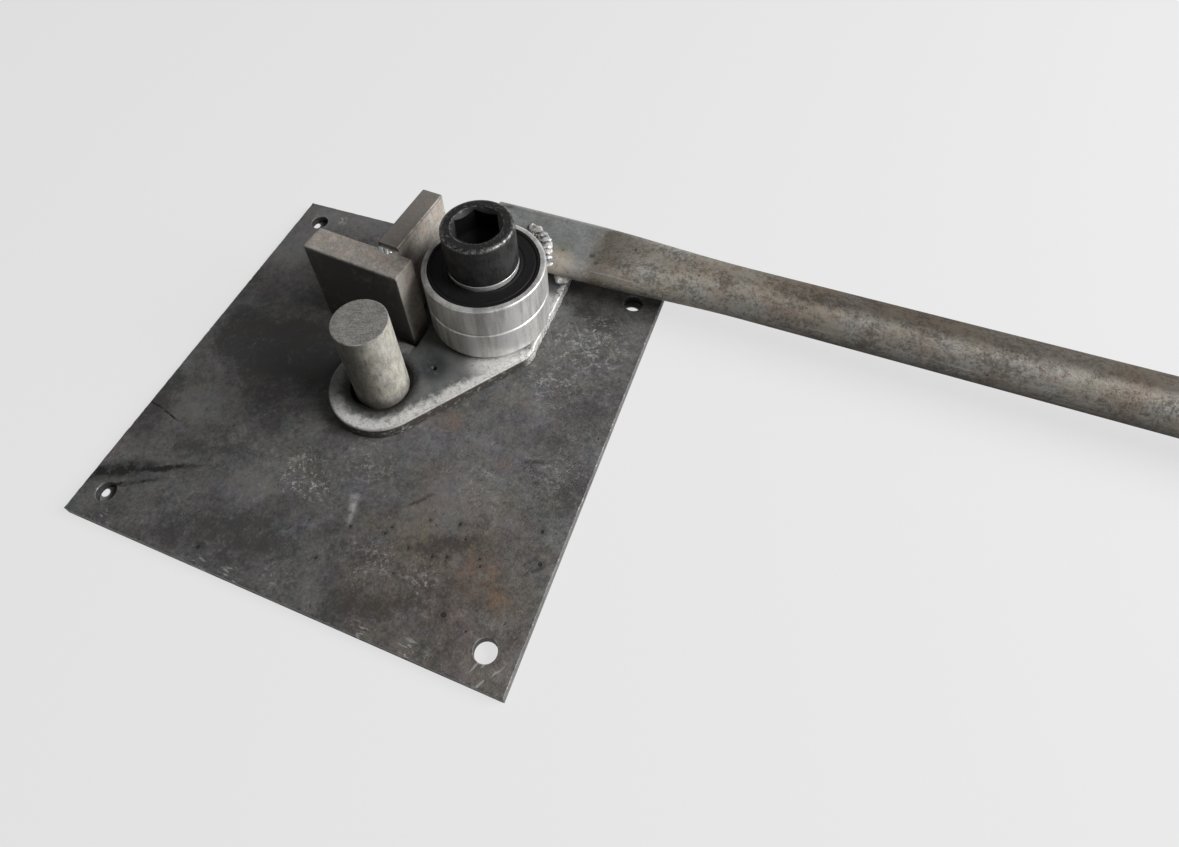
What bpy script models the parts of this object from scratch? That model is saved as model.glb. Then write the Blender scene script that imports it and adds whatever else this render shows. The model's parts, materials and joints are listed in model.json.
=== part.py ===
"""Manual bar and tube bender: a post on a plate, and a swinging arm with a bearing roller.

Run with: blender --background --python part.py
Units are metres, +Z is up. The origin is on the underside of the base plate, under the post.
At rest the handle points along +X.
"""

import math

import bmesh
import bpy
from mathutils import Matrix, Vector

MM = 0.001

# Fits
SEAT_GAP = 0.1 * MM  # between faces that rest on each other
WELD_GAP = 0.2 * MM  # between weld metal and the faces that it joins
SLIDE_GAP = 0.3 * MM  # arm plate over base plate
POST_CLEARANCE = 0.2 * MM  # arm bore round the post, radial
BOLT_CLEARANCE = 0.1 * MM  # bolt in the bearing bores and the tapped hole, radial
WASHER_CLEARANCE = 0.4 * MM  # bolt in the washers, radial
BEARING_GAP = 0.3 * MM  # between the two stacked bearings
RACE_CLEARANCE = 0.2 * MM  # ball in its raceways and cage pockets
SEAL_CLEARANCE = 0.3 * MM  # seal in its recess and over the inner ring

# Base plate
BASE_WIDTH = 190 * MM
BASE_DEPTH = 184 * MM
BASE_THICKNESS = 4 * MM
MOUNT_HOLE_DIAMETER = 8.5 * MM
MOUNT_HOLE_INSET = 11.7 * MM

# Pivot post
POST_DIAMETER = 22.8 * MM
POST_HEIGHT = 47.5 * MM  # above the plate
POST_EDGE = 0.5 * MM
POST_WELD_DEPTH = 2 * MM

# Ball bearings of the roller
BEARING_BORE = 20 * MM
BEARING_DIAMETER = 52 * MM
BEARING_WIDTH = 15 * MM
BEARING_EDGE = 1 * MM
BALL_DIAMETER = 9.525 * MM
BALL_COUNT = 7
PITCH_DIAMETER = 36 * MM
SHOULDER_HEIGHT = 3.2 * MM  # of both rings, from the pitch circle
SEAL_DIAMETER = 46.6 * MM
SEAL_THICKNESS = 1.2 * MM
SEAL_RECESS = 0.3 * MM
CAGE_WALL = 2 * MM
CAGE_RIM = 0.7 * MM  # over and under each ball pocket

# Bolt and washers of the roller
BOLT_HEAD_DIAMETER = 30 * MM
BOLT_HEAD_HEIGHT = 20 * MM
BOLT_HEAD_EDGE = 1.6 * MM
HEX_ACROSS_FLATS = 17 * MM
HEX_DEPTH = 10 * MM
HEX_LEAD_IN = 0.6 * MM
BOLT_END_RECESS = 0.3 * MM
WASHER_DIAMETER = 30 * MM
WASHER_THICKNESS = 2 * MM
SPACER_DIAMETER = 28 * MM
SPACER_THICKNESS = 1.2 * MM

# Where the roller stands on the arm
ROLLER_GAP = 19.8 * MM  # from the post to the roller
ROLLER_ANGLE = math.radians(61.1)

# Arm plate
ARM_THICKNESS = 6 * MM
ARM_WIDTH = 48.6 * MM
ARM_NOSE_WALL = 10.9 * MM
ARM_CORNER = 34 * MM  # from the pivot to the front of the straight right edge
ARM_TAIL = 12.5 * MM  # behind the handle's axis
POST_BORE_CHAMFER = 1.6 * MM

# Fence and buttress
FENCE_LENGTH = 47 * MM
FENCE_THICKNESS = 12 * MM
FENCE_HEIGHT = 44 * MM
FENCE_ANGLE = math.radians(-5)
FENCE_NOSE_GAP = 3.6 * MM
FENCE_ROLLER_GAP = 2.4 * MM
FENCE_ARM_GAP = 2.6 * MM
BAR_EDGE = 0.4 * MM
BUTTRESS_LENGTH = 38 * MM
BUTTRESS_THICKNESS = 10 * MM
BUTTRESS_SETBACK = 8.8 * MM  # from the fence's right end

# Handle
HANDLE_DIAMETER = 21.6 * MM
HANDLE_WALL = 2.6 * MM
HANDLE_LENGTH = 473 * MM
HANDLE_YAW = math.radians(-1.3)
HANDLE_SETBACK = 15.8 * MM  # from the back of the roller to the handle's axis
FLAT_WIDTH = 33 * MM
FLAT_THICKNESS = 6 * MM
FLAT_OVERHANG = 1.5 * MM  # past the arm's right edge
CRUSH_LENGTH = 62 * MM  # from the flat to the full round
BORE_TIP_SHARE = 0.3  # of the bore's width, where it closes in the crushed part
TAIL_LENGTH = 25.5 * MM  # of the half of the flat that runs on behind the roller
NOTCH_ANGLE = math.radians(34)  # of the slanted edge that clears the roller, from square
NOTCH_SETBACK = 5.9 * MM  # from the roller's axis to the notch's inner corner
PACKER_THICKNESS = 5 * MM
PACKER_WIDTH = 12 * MM
PACKER_LENGTH = 18 * MM
PACKER_EDGE_SETBACK = 0.8 * MM  # from the arm's right edge
PACKER_NOTCH_SETBACK = 2 * MM  # from the slanted edge

# Welds
FOOT_WELD_LEG = 4 * MM
END_WELD_WIDTH = 3.4 * MM
END_WELD_LENGTH = 17 * MM
END_WELD_HEIGHT = 11 * MM
TACK_DIAMETER = 7 * MM
TACK_INSET = 2.2 * MM  # from the arm's right edge to the tack's middle
TACK_SETBACK = 3.3 * MM  # from the flat's front edge to the tack's middle
BACK_WELD_LEG = 4.4 * MM
TOP_WELD_WIDTH = 2.6 * MM
TOP_WELD_DEPTH = 2 * MM
BEAD_PITCH = 3.2 * MM
BEAD_RIPPLE = 0.09  # share of the bead's leg
BEAD_BULGE = ((0.86, 0.42), (0.5, 0.8))  # points of its face, as shares of its legs
TACK_BULGE = (0.9, 0.6)  # its radius at mid height and at the top, as shares

# Mesh fineness
SEGMENTS = 48
INNER_SEGMENTS = 36
HOLE_SEGMENTS = 24
POCKET_SEGMENTS = 20
TACK_SEGMENTS = 16
BALL_SEGMENTS = 12
BALL_RINGS = 8
TUBE_POINTS = 24
CRUSH_STEPS = 8
ARC_STEPS = 4
LEAST_BEAD_STATIONS = 6
SHARP_ANGLE = math.radians(35)
MERGE_DISTANCE = 1e-7
AXIS_SIZE = 20 * MM  # of the empties, as drawn

FINISHES = {
    "mill_scale": ((0.062, 0.062, 0.064), 0.55, 0.85),
    "ground_plate": ((0.17, 0.175, 0.18), 0.45, 0.9),
    "cut_bar": ((0.19, 0.178, 0.163), 0.6, 0.75),
    "bearing_steel": ((0.52, 0.52, 0.52), 0.22, 1.0),
    "seal_rubber": ((0.012, 0.012, 0.013), 0.65, 0.0),
    "black_oxide": ((0.018, 0.018, 0.019), 0.4, 0.6),
    "bright_washer": ((0.45, 0.45, 0.45), 0.3, 1.0),
    "raw_tube": ((0.135, 0.115, 0.095), 0.55, 0.7),
    "weld_metal": ((0.36, 0.37, 0.38), 0.38, 0.95),
    "pressed_cage": ((0.3, 0.29, 0.27), 0.4, 1.0),
}

# Levels and places that follow from the sizes above
post_radius = POST_DIAMETER / 2
bearing_radius = BEARING_DIAMETER / 2
pitch_radius = PITCH_DIAMETER / 2
ball_radius = BALL_DIAMETER / 2
bolt_radius = BEARING_BORE / 2 - BOLT_CLEARANCE
base_top = BASE_THICKNESS
arm_bottom = base_top + SLIDE_GAP
arm_top = arm_bottom + ARM_THICKNESS
spacer_bottom = arm_top + SEAT_GAP
lower_bearing_bottom = spacer_bottom + SPACER_THICKNESS + SEAT_GAP
upper_bearing_bottom = lower_bearing_bottom + BEARING_WIDTH + BEARING_GAP
washer_bottom = upper_bearing_bottom + BEARING_WIDTH + SEAT_GAP
bolt_head_bottom = washer_bottom + WASHER_THICKNESS + SEAT_GAP

post_bore_radius = post_radius + POST_CLEARANCE
nose_radius = post_bore_radius + ARM_NOSE_WALL
roller_reach = post_radius + ROLLER_GAP + bearing_radius
roller_x = roller_reach * math.cos(ROLLER_ANGLE)
roller_y = roller_reach * math.sin(ROLLER_ANGLE)

# The fence stands clear of the arm's nose in front and of the roller at its right end
fence_front = nose_radius + FENCE_NOSE_GAP
fence_back = fence_front + FENCE_THICKNESS * math.cos(FENCE_ANGLE)
fence_corner_reach = bearing_radius + FENCE_ROLLER_GAP
fence_back_x = roller_x - math.sqrt(fence_corner_reach**2 - (roller_y - fence_back) ** 2)
fence_front_x = fence_back_x + FENCE_THICKNESS * math.sin(FENCE_ANGLE)

arm_left = fence_back_x + FENCE_ARM_GAP
arm_right = arm_left + ARM_WIDTH
handle_y = roller_y + bearing_radius + HANDLE_SETBACK
arm_back = handle_y + ARM_TAIL
handle_bottom = arm_top + PACKER_THICKNESS + 2 * SEAT_GAP
handle_z = handle_bottom + FLAT_THICKNESS / 2

# The handle's axis starts at the notch's inner corner
notch_x = roller_x + NOTCH_SETBACK
notch_y = handle_y + notch_x * math.tan(HANDLE_YAW)


def clear_scene():
    for old in list(bpy.data.objects):
        bpy.data.objects.remove(old, do_unlink=True)


def finish(name):
    material = bpy.data.materials.get(name)
    if material is None:
        colour, roughness, metallic = FINISHES[name]
        material = bpy.data.materials.new(name)
        material.use_nodes = True
        shader = material.node_tree.nodes["Principled BSDF"]
        shader.inputs["Base Color"].default_value = (*colour, 1)
        shader.inputs["Roughness"].default_value = roughness
        shader.inputs["Metallic"].default_value = metallic
    return material


def axis_empty(name, location, parent=None):
    empty = bpy.data.objects.new(name, None)
    empty.empty_display_size = AXIS_SIZE
    empty.parent = parent
    empty.location = location
    bpy.context.scene.collection.objects.link(empty)
    return empty


def add_object(name, shape, finish_name, parent=None, location=(0, 0, 0), turn=0.0):
    """Turns a bmesh into a named object, turned about Z and placed in its parent's frame."""
    bmesh.ops.remove_doubles(shape, verts=shape.verts, dist=MERGE_DISTANCE)
    bmesh.ops.recalc_face_normals(shape, faces=shape.faces)
    mesh = bpy.data.meshes.new(name)
    shape.to_mesh(mesh)
    shape.free()
    mesh.shade_smooth()
    mesh.set_sharp_from_angle(angle=SHARP_ANGLE)
    mesh.materials.append(finish(finish_name))
    made = bpy.data.objects.new(name, mesh)
    made.parent = parent
    made.location = location
    made.rotation_euler.z = turn
    bpy.context.scene.collection.objects.link(made)
    return made


def cut(target, cutter):
    cutter.hide_render = True
    cutter.display_type = "WIRE"
    modifier = target.modifiers.new("cut " + cutter.name, "BOOLEAN")
    modifier.operation = "DIFFERENCE"
    modifier.solver = "EXACT"
    modifier.object = cutter


def soften(target, width):
    modifier = target.modifiers.new("edges", "BEVEL")
    modifier.width = width
    modifier.segments = 1
    modifier.limit_method = "ANGLE"


def arc(centre, radius, start, end, steps):
    """Points from the angle start to the angle end, both included, in radians."""
    angles = [start + (end - start) * step / steps for step in range(steps + 1)]
    return [(centre[0] + radius * math.cos(a), centre[1] + radius * math.sin(a)) for a in angles]


def turned(profile, segments=SEGMENTS):
    """Spins a closed outline of (radius, height) points round the Z axis."""
    shape = bmesh.new()
    points = [shape.verts.new((radius, 0, height)) for radius, height in profile]
    edges = [shape.edges.new((a, b)) for a, b in zip(points, points[1:] + points[:1])]
    bmesh.ops.spin(
        shape,
        geom=points + edges,
        cent=(0, 0, 0),
        axis=(0, 0, 1),
        angle=2 * math.pi,
        steps=segments,
        use_merge=True,
    )
    return shape


def prism(outline, bottom, top):
    """Raises an outline of (x, y) points from one level to another."""
    shape = bmesh.new()
    face = shape.faces.new([shape.verts.new((x, y, bottom)) for x, y in outline])
    raised = bmesh.ops.extrude_face_region(shape, geom=[face])
    moved = [item for item in raised["geom"] if isinstance(item, bmesh.types.BMVert)]
    bmesh.ops.translate(shape, vec=(0, 0, top - bottom), verts=moved)
    return shape


def rectangle(left, front, right, back):
    return [(left, front), (right, front), (right, back), (left, back)]


def cylinder(radius, bottom, top, segments=SEGMENTS):
    return turned([(0, bottom), (radius, bottom), (radius, top), (0, top)], segments)


def washer_shape(inner, outer, bottom, top, segments=SEGMENTS):
    return turned([(inner, bottom), (outer, bottom), (outer, top), (inner, top)], segments)


def skin(shape, rings):
    """Joins rings of vertices, each with as many points, into a closed tube with end faces."""
    for low, high in zip(rings, rings[1:]):
        for index in range(len(low)):
            after = (index + 1) % len(low)
            shape.faces.new((low[index], low[after], high[after], high[index]))
    shape.faces.new(rings[0])
    shape.faces.new(rings[-1])


def fillet_bead(length, out, up):
    """A rippled weld along X, in the corner of a wall at Y = 0 and a floor at Z = 0."""
    shape = bmesh.new()
    stations = max(LEAST_BEAD_STATIONS, round(2 * length / BEAD_PITCH))
    rings = []
    for station in range(stations + 1):
        x = length * (station / stations - 0.5)
        swell = 1 - BEAD_RIPPLE * (station % 2)
        wide = out * swell
        tall = up * swell
        section = [
            (WELD_GAP, WELD_GAP),
            (wide, WELD_GAP),
            *((wide * out_share, tall * up_share) for out_share, up_share in BEAD_BULGE),
            (WELD_GAP, tall),
        ]
        rings.append([shape.verts.new((x, y, z)) for y, z in section])
    skin(shape, rings)
    return shape


# The fixed base


def make_base_plate():
    outline = rectangle(-BASE_WIDTH / 2, -BASE_DEPTH / 2, BASE_WIDTH / 2, BASE_DEPTH / 2)
    plate = add_object("base_plate", prism(outline, 0, BASE_THICKNESS), "mill_scale")
    past = BASE_THICKNESS
    hole_x = BASE_WIDTH / 2 - MOUNT_HOLE_INSET
    hole_y = BASE_DEPTH / 2 - MOUNT_HOLE_INSET
    for index, (side_x, side_y) in enumerate(((-1, -1), (1, -1), (1, 1), (-1, 1))):
        drill = add_object(
            f"mount_drill_{index + 1}",
            cylinder(MOUNT_HOLE_DIAMETER / 2, -past, BASE_THICKNESS + past, HOLE_SEGMENTS),
            "mill_scale",
            location=(side_x * hole_x, side_y * hole_y, 0),
        )
        cut(plate, drill)
    seat = post_radius + SEAT_GAP
    post_drill = turned(
        [
            (0, -past),
            (seat + POST_WELD_DEPTH + past, -past),
            (seat, POST_WELD_DEPTH),
            (seat, BASE_THICKNESS + past),
            (0, BASE_THICKNESS + past),
        ]
    )
    cut(plate, add_object("post_drill", post_drill, "mill_scale"))


def make_post():
    top = base_top + POST_HEIGHT
    profile = [
        (0, 0),
        (post_radius, 0),
        (post_radius, top - POST_EDGE),
        (post_radius - POST_EDGE, top),
        (0, top),
    ]
    add_object("pivot_post", turned(profile), "cut_bar")
    inner = post_radius + WELD_GAP
    deep = POST_WELD_DEPTH - 2 * WELD_GAP
    ring = [(inner, 0), (inner + deep, 0), (inner, deep)]
    add_object("post_root_weld", turned(ring), "weld_metal")


def make_fence():
    """The fence and what is welded to it hang on an empty at its front right foot."""
    foot = axis_empty("fence_foot", (fence_front_x, fence_front, base_top))
    foot.rotation_euler.z = FENCE_ANGLE
    low = SEAT_GAP
    bar = prism(rectangle(-FENCE_LENGTH, 0, 0, FENCE_THICKNESS), low, FENCE_HEIGHT)
    soften(add_object("fence_bar", bar, "cut_bar", foot), BAR_EDGE)

    right = -BUTTRESS_SETBACK
    left = right - BUTTRESS_THICKNESS
    front = FENCE_THICKNESS + SEAT_GAP
    back = front + BUTTRESS_LENGTH
    brace = prism(rectangle(left, front, right, back), low, FENCE_HEIGHT)
    brace = add_object("fence_buttress", brace, "cut_bar", foot)
    soften(brace, BAR_EDGE)
    groove_floor = FENCE_HEIGHT - TOP_WELD_DEPTH
    groove = prism(
        rectangle(left - BUTTRESS_THICKNESS, 0, right + BUTTRESS_THICKNESS, front + TOP_WELD_WIDTH),
        groove_floor,
        FENCE_HEIGHT + TOP_WELD_DEPTH,
    )
    cut(brace, add_object("groove_cutter", groove, "cut_bar", foot))
    top_weld = prism(
        rectangle(
            left + BAR_EDGE,
            FENCE_THICKNESS + WELD_GAP,
            right - BAR_EDGE,
            front + TOP_WELD_WIDTH - WELD_GAP,
        ),
        groove_floor + WELD_GAP,
        FENCE_HEIGHT,
    )
    add_object("buttress_top_weld", top_weld, "weld_metal", foot)

    quarter_turn = math.pi / 2
    side_length = BUTTRESS_LENGTH - FOOT_WELD_LEG
    back_length = FENCE_LENGTH + left
    welds = (
        (
            "fence_end_weld",
            FENCE_THICKNESS,
            (-FENCE_LENGTH, FENCE_THICKNESS / 2, 0),
            quarter_turn,
        ),
        (
            "fence_back_weld",
            back_length,
            (-FENCE_LENGTH + back_length / 2, FENCE_THICKNESS, 0),
            0,
        ),
        (
            "buttress_side_weld",
            side_length,
            (left, back - side_length / 2, 0),
            quarter_turn,
        ),
        (
            "buttress_end_weld",
            BUTTRESS_THICKNESS,
            ((left + right) / 2, back, 0),
            0,
        ),
    )
    for name, length, place, turn in welds:
        bead = fillet_bead(length, FOOT_WELD_LEG, FOOT_WELD_LEG)
        add_object(name, bead, "weld_metal", foot, place, turn)


# The swinging arm


def arm_outline():
    """Nose arc round the post, straight left and right edges, and a tangent from nose to corner."""
    corner = Vector((arm_right, ARM_CORNER))
    facing = math.atan2(corner.y, corner.x)
    tangent = facing - math.acos(nose_radius / corner.length)
    arc_end = math.acos(arm_left / nose_radius) - 2 * math.pi
    nose = arc((0, 0), nose_radius, tangent, arc_end, SEGMENTS // 2)
    return [*reversed(nose), tuple(corner), (arm_right, arm_back), (arm_left, arm_back)]


def make_arm_plate(pivot):
    plate = add_object("arm_plate", prism(arm_outline(), arm_bottom, arm_top), "ground_plate", pivot)
    past = ARM_THICKNESS
    chamfer_low = arm_top - POST_BORE_CHAMFER
    bore = turned(
        [
            (0, arm_bottom - past),
            (post_bore_radius, arm_bottom - past),
            (post_bore_radius, chamfer_low),
            (post_bore_radius + POST_BORE_CHAMFER + past, arm_top + past),
            (0, arm_top + past),
        ]
    )
    cut(plate, add_object("post_bore", bore, "ground_plate", pivot))
    tapped = cylinder(bolt_radius + BOLT_CLEARANCE, arm_bottom - past, arm_top + past)
    cut(plate, add_object("bolt_bore", tapped, "ground_plate", pivot, (roller_x, roller_y, 0)))


def make_bolt(roller_axis):
    head = BOLT_HEAD_DIAMETER / 2
    top = bolt_head_bottom + BOLT_HEAD_HEIGHT
    profile = [
        (0, arm_bottom + BOLT_END_RECESS),
        (bolt_radius, arm_bottom + BOLT_END_RECESS),
        (bolt_radius, bolt_head_bottom),
        (head, bolt_head_bottom),
        (head, top - BOLT_HEAD_EDGE),
        (head - BOLT_HEAD_EDGE, top),
        (0, top),
    ]
    bolt = add_object("roller_bolt", turned(profile), "black_oxide", roller_axis)
    corner = HEX_ACROSS_FLATS / 2 / math.cos(math.pi / 6)
    sides = [math.pi / 3 * side for side in range(6)]
    hexagon = [(corner * math.cos(angle), corner * math.sin(angle)) for angle in sides]
    socket = prism(hexagon, top - HEX_DEPTH, top + HEX_DEPTH)
    cut(bolt, add_object("hex_cutter", socket, "black_oxide", roller_axis))
    rim = corner + HEX_LEAD_IN
    lead_in = turned([(0, top - rim), (rim + HEX_DEPTH, top + HEX_DEPTH), (0, top + HEX_DEPTH)])
    cut(bolt, add_object("lead_in_cutter", lead_in, "black_oxide", roller_axis))


def make_washers(roller_axis):
    bore = bolt_radius + WASHER_CLEARANCE
    washer = washer_shape(
        bore, WASHER_DIAMETER / 2, washer_bottom, washer_bottom + WASHER_THICKNESS
    )
    add_object("bolt_washer", washer, "bright_washer", roller_axis)
    spacer = washer_shape(
        bore, SPACER_DIAMETER / 2, spacer_bottom, spacer_bottom + SPACER_THICKNESS, INNER_SEGMENTS
    )
    add_object("roller_spacer", spacer, "bright_washer", roller_axis)


def race_arc(side):
    """Raceway from low to high, in the outer ring (side 1) or the inner ring (side -1)."""
    radius = ball_radius + RACE_CLEARANCE
    half = math.acos(SHOULDER_HEIGHT / radius)
    middle = (pitch_radius, BEARING_WIDTH / 2)
    if side > 0:
        return arc(middle, radius, -half, half, ARC_STEPS)
    return arc(middle, radius, math.pi + half, math.pi - half, ARC_STEPS)


def make_bearing(prefix, arm_axis, roller_axis, cage_axis):
    """One sealed ball bearing, with its lower face at the height of its three axes."""
    width = BEARING_WIDTH
    recess = SEAL_DIAMETER / 2 + SEAL_CLEARANCE
    ledge = SEAL_RECESS + SEAL_THICKNESS + SEAL_CLEARANCE
    outer_shoulder = pitch_radius + SHOULDER_HEIGHT
    inner_shoulder = pitch_radius - SHOULDER_HEIGHT
    outer = [
        (recess, 0),
        (bearing_radius - BEARING_EDGE, 0),
        (bearing_radius, BEARING_EDGE),
        (bearing_radius, width - BEARING_EDGE),
        (bearing_radius - BEARING_EDGE, width),
        (recess, width),
        (recess, width - ledge),
        (outer_shoulder, width - ledge),
        *reversed(race_arc(1)),
        (outer_shoulder, ledge),
        (recess, ledge),
    ]
    add_object(prefix + "_outer_ring", turned(outer), "bearing_steel", roller_axis)

    inner = [
        (BEARING_BORE / 2, 0),
        (inner_shoulder, 0),
        *race_arc(-1),
        (inner_shoulder, width),
        (BEARING_BORE / 2, width),
    ]
    add_object(prefix + "_inner_ring", turned(inner, INNER_SEGMENTS), "bearing_steel", arm_axis)

    seal_inner = inner_shoulder + SEAL_CLEARANCE
    for end, low in (("bottom", SEAL_RECESS), ("top", width - SEAL_RECESS - SEAL_THICKNESS)):
        seal = washer_shape(seal_inner, SEAL_DIAMETER / 2, low, low + SEAL_THICKNESS)
        add_object(f"{prefix}_seal_{end}", seal, "seal_rubber", roller_axis)

    make_cage(prefix, cage_axis)


def make_cage(prefix, cage_axis):
    """A pressed ring with a round pocket for each ball, and the balls."""
    middle = BEARING_WIDTH / 2
    pocket = ball_radius + RACE_CLEARANCE
    half_height = pocket + CAGE_RIM
    ring = washer_shape(
        pitch_radius - CAGE_WALL / 2,
        pitch_radius + CAGE_WALL / 2,
        middle - half_height,
        middle + half_height,
        INNER_SEGMENTS,
    )
    cage = add_object(prefix + "_cage", ring, "pressed_cage", cage_axis)
    pockets = bmesh.new()
    for index in range(BALL_COUNT):
        angle = 2 * math.pi * index / BALL_COUNT
        place = Vector((pitch_radius * math.cos(angle), pitch_radius * math.sin(angle), middle))
        lay_down = Matrix.Rotation(angle, 4, "Z") @ Matrix.Rotation(math.pi / 2, 4, "Y")
        bmesh.ops.create_cone(
            pockets,
            cap_ends=True,
            segments=POCKET_SEGMENTS,
            radius1=pocket,
            radius2=pocket,
            depth=2 * CAGE_WALL,
            matrix=Matrix.Translation(place) @ lay_down,
        )
        ball = bmesh.new()
        bmesh.ops.create_uvsphere(
            ball, u_segments=BALL_SEGMENTS, v_segments=BALL_RINGS, radius=ball_radius
        )
        add_object(f"{prefix}_ball_{index + 1}", ball, "bearing_steel", cage_axis, place)
    cut(cage, add_object(prefix + "_pocket_cutter", pockets, "pressed_cage", cage_axis))


# The handle


def flat_round(width, height, points):
    """Points of an outline with straight top and bottom and round ends, width by height."""
    end = height / 2
    straight = width / 2 - end
    half = points // 2
    right = arc((straight, 0), end, -math.pi / 2, math.pi / 2, half - 1)
    left = arc((-straight, 0), end, math.pi / 2, 3 * math.pi / 2, half - 1)
    return right + left


def ease(share):
    """Smooth step from 0 to 1."""
    share = min(max(share, 0), 1)
    return share * share * (3 - 2 * share)


def make_handle_tube(handle):
    """A tube along X, open at its far end; the near end is crushed flat and notched."""
    shape = bmesh.new()
    flat_length = (arm_right + FLAT_OVERHANG - notch_x) / math.cos(HANDLE_YAW)
    round_from = flat_length + CRUSH_LENGTH
    crush = [flat_length + CRUSH_LENGTH * step / CRUSH_STEPS for step in range(CRUSH_STEPS + 1)]
    rings = []
    far_end = HANDLE_LENGTH - TAIL_LENGTH
    for station in [-TAIL_LENGTH, *crush, far_end]:
        share = ease((station - flat_length) / CRUSH_LENGTH)
        width = FLAT_WIDTH + (HANDLE_DIAMETER - FLAT_WIDTH) * share
        height = FLAT_THICKNESS + (HANDLE_DIAMETER - FLAT_THICKNESS) * share
        outline = flat_round(width, min(height, width), TUBE_POINTS)
        rings.append([shape.verts.new((station, y, z)) for y, z in outline])
    bore = HANDLE_DIAMETER - 2 * HANDLE_WALL
    bore_tip = bore * BORE_TIP_SHARE
    for station, wide in (
        (far_end, bore),
        (round_from, bore),
        (round_from - HANDLE_DIAMETER, bore_tip),
    ):
        outline = flat_round(wide, wide, TUBE_POINTS)
        rings.append([shape.verts.new((station, y, z)) for y, z in outline])
    skin(shape, rings)
    tube = add_object("handle_tube", shape, "raw_tube", handle)
    corner = (FLAT_WIDTH * math.tan(NOTCH_ANGLE), -FLAT_WIDTH)
    left = -2 * TAIL_LENGTH
    notch = prism([(left, 0), (left, -FLAT_WIDTH), corner, (0, 0)], -FLAT_THICKNESS, FLAT_THICKNESS)
    cut(tube, add_object("notch_cutter", notch, "raw_tube", handle))


def make_handle_welds(pivot, handle):
    packer_right = arm_right - PACKER_EDGE_SETBACK
    packer_left = packer_right - PACKER_WIDTH
    slant = NOTCH_ANGLE + HANDLE_YAW
    beside = PACKER_NOTCH_SETBACK - (packer_left - notch_x) * math.cos(slant)
    packer_front = notch_y + beside / math.sin(slant)
    packer_back = packer_front + PACKER_LENGTH
    packer = prism(
        rectangle(packer_left, packer_front, packer_right, packer_back),
        arm_top + SEAT_GAP,
        arm_top + SEAT_GAP + PACKER_THICKNESS,
    )
    add_object("handle_packer", packer, "cut_bar", pivot)

    bead = fillet_bead(END_WELD_LENGTH, END_WELD_WIDTH, END_WELD_HEIGHT)
    middle = -END_WELD_LENGTH / 2
    bead_place = (-middle * math.sin(NOTCH_ANGLE), middle * math.cos(NOTCH_ANGLE), arm_top - handle_z)
    along_notch = math.pi / 2 + NOTCH_ANGLE
    add_object("handle_end_weld", bead, "weld_metal", handle, bead_place, along_notch)

    tack_radius = TACK_DIAMETER / 2
    tack_low = arm_top + WELD_GAP
    tack_high = handle_bottom - WELD_GAP
    dome = turned(
        [
            (0, tack_low),
            (tack_radius, tack_low),
            (tack_radius * TACK_BULGE[0], (tack_low + tack_high) / 2),
            (tack_radius * TACK_BULGE[1], tack_high),
            (0, tack_high),
        ],
        TACK_SEGMENTS,
    )
    tack_x = arm_right - TACK_INSET
    flat_front = handle_y + tack_x * math.tan(HANDLE_YAW) - FLAT_WIDTH / 2
    tack_y = flat_front + TACK_SETBACK
    add_object("handle_tack_weld", dome, "weld_metal", pivot, (tack_x, tack_y, 0))

    back_bead = fillet_bead(PACKER_WIDTH, BACK_WELD_LEG, PACKER_THICKNESS - WELD_GAP)
    back_place = (packer_right - PACKER_WIDTH / 2, packer_back, arm_top)
    add_object("handle_back_weld", back_bead, "weld_metal", pivot, back_place)


def main():
    clear_scene()
    make_base_plate()
    make_post()
    make_fence()

    pivot = axis_empty("arm_pivot", (0, 0, 0))
    roller_axis = axis_empty("roller_axis", (roller_x, roller_y, 0), pivot)
    make_arm_plate(pivot)
    make_bolt(roller_axis)
    make_washers(roller_axis)
    levels = (("lower", lower_bearing_bottom), ("upper", upper_bearing_bottom))
    for prefix, level in levels:
        seat = axis_empty(prefix + "_bearing_seat", (0, 0, level), roller_axis)
        spin = axis_empty(prefix + "_roller_spin", (0, 0, 0), seat)
        cage_spin = axis_empty(prefix + "_cage_spin", (0, 0, 0), seat)
        make_bearing(prefix, seat, spin, cage_spin)

    handle = axis_empty("handle_axis", (notch_x, notch_y, handle_z), pivot)
    handle.rotation_euler.z = HANDLE_YAW
    make_handle_tube(handle)
    make_handle_welds(pivot, handle)


main()
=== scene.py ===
import json
import math

import bmesh
import bpy
from mathutils import Matrix, Vector, noise


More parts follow.
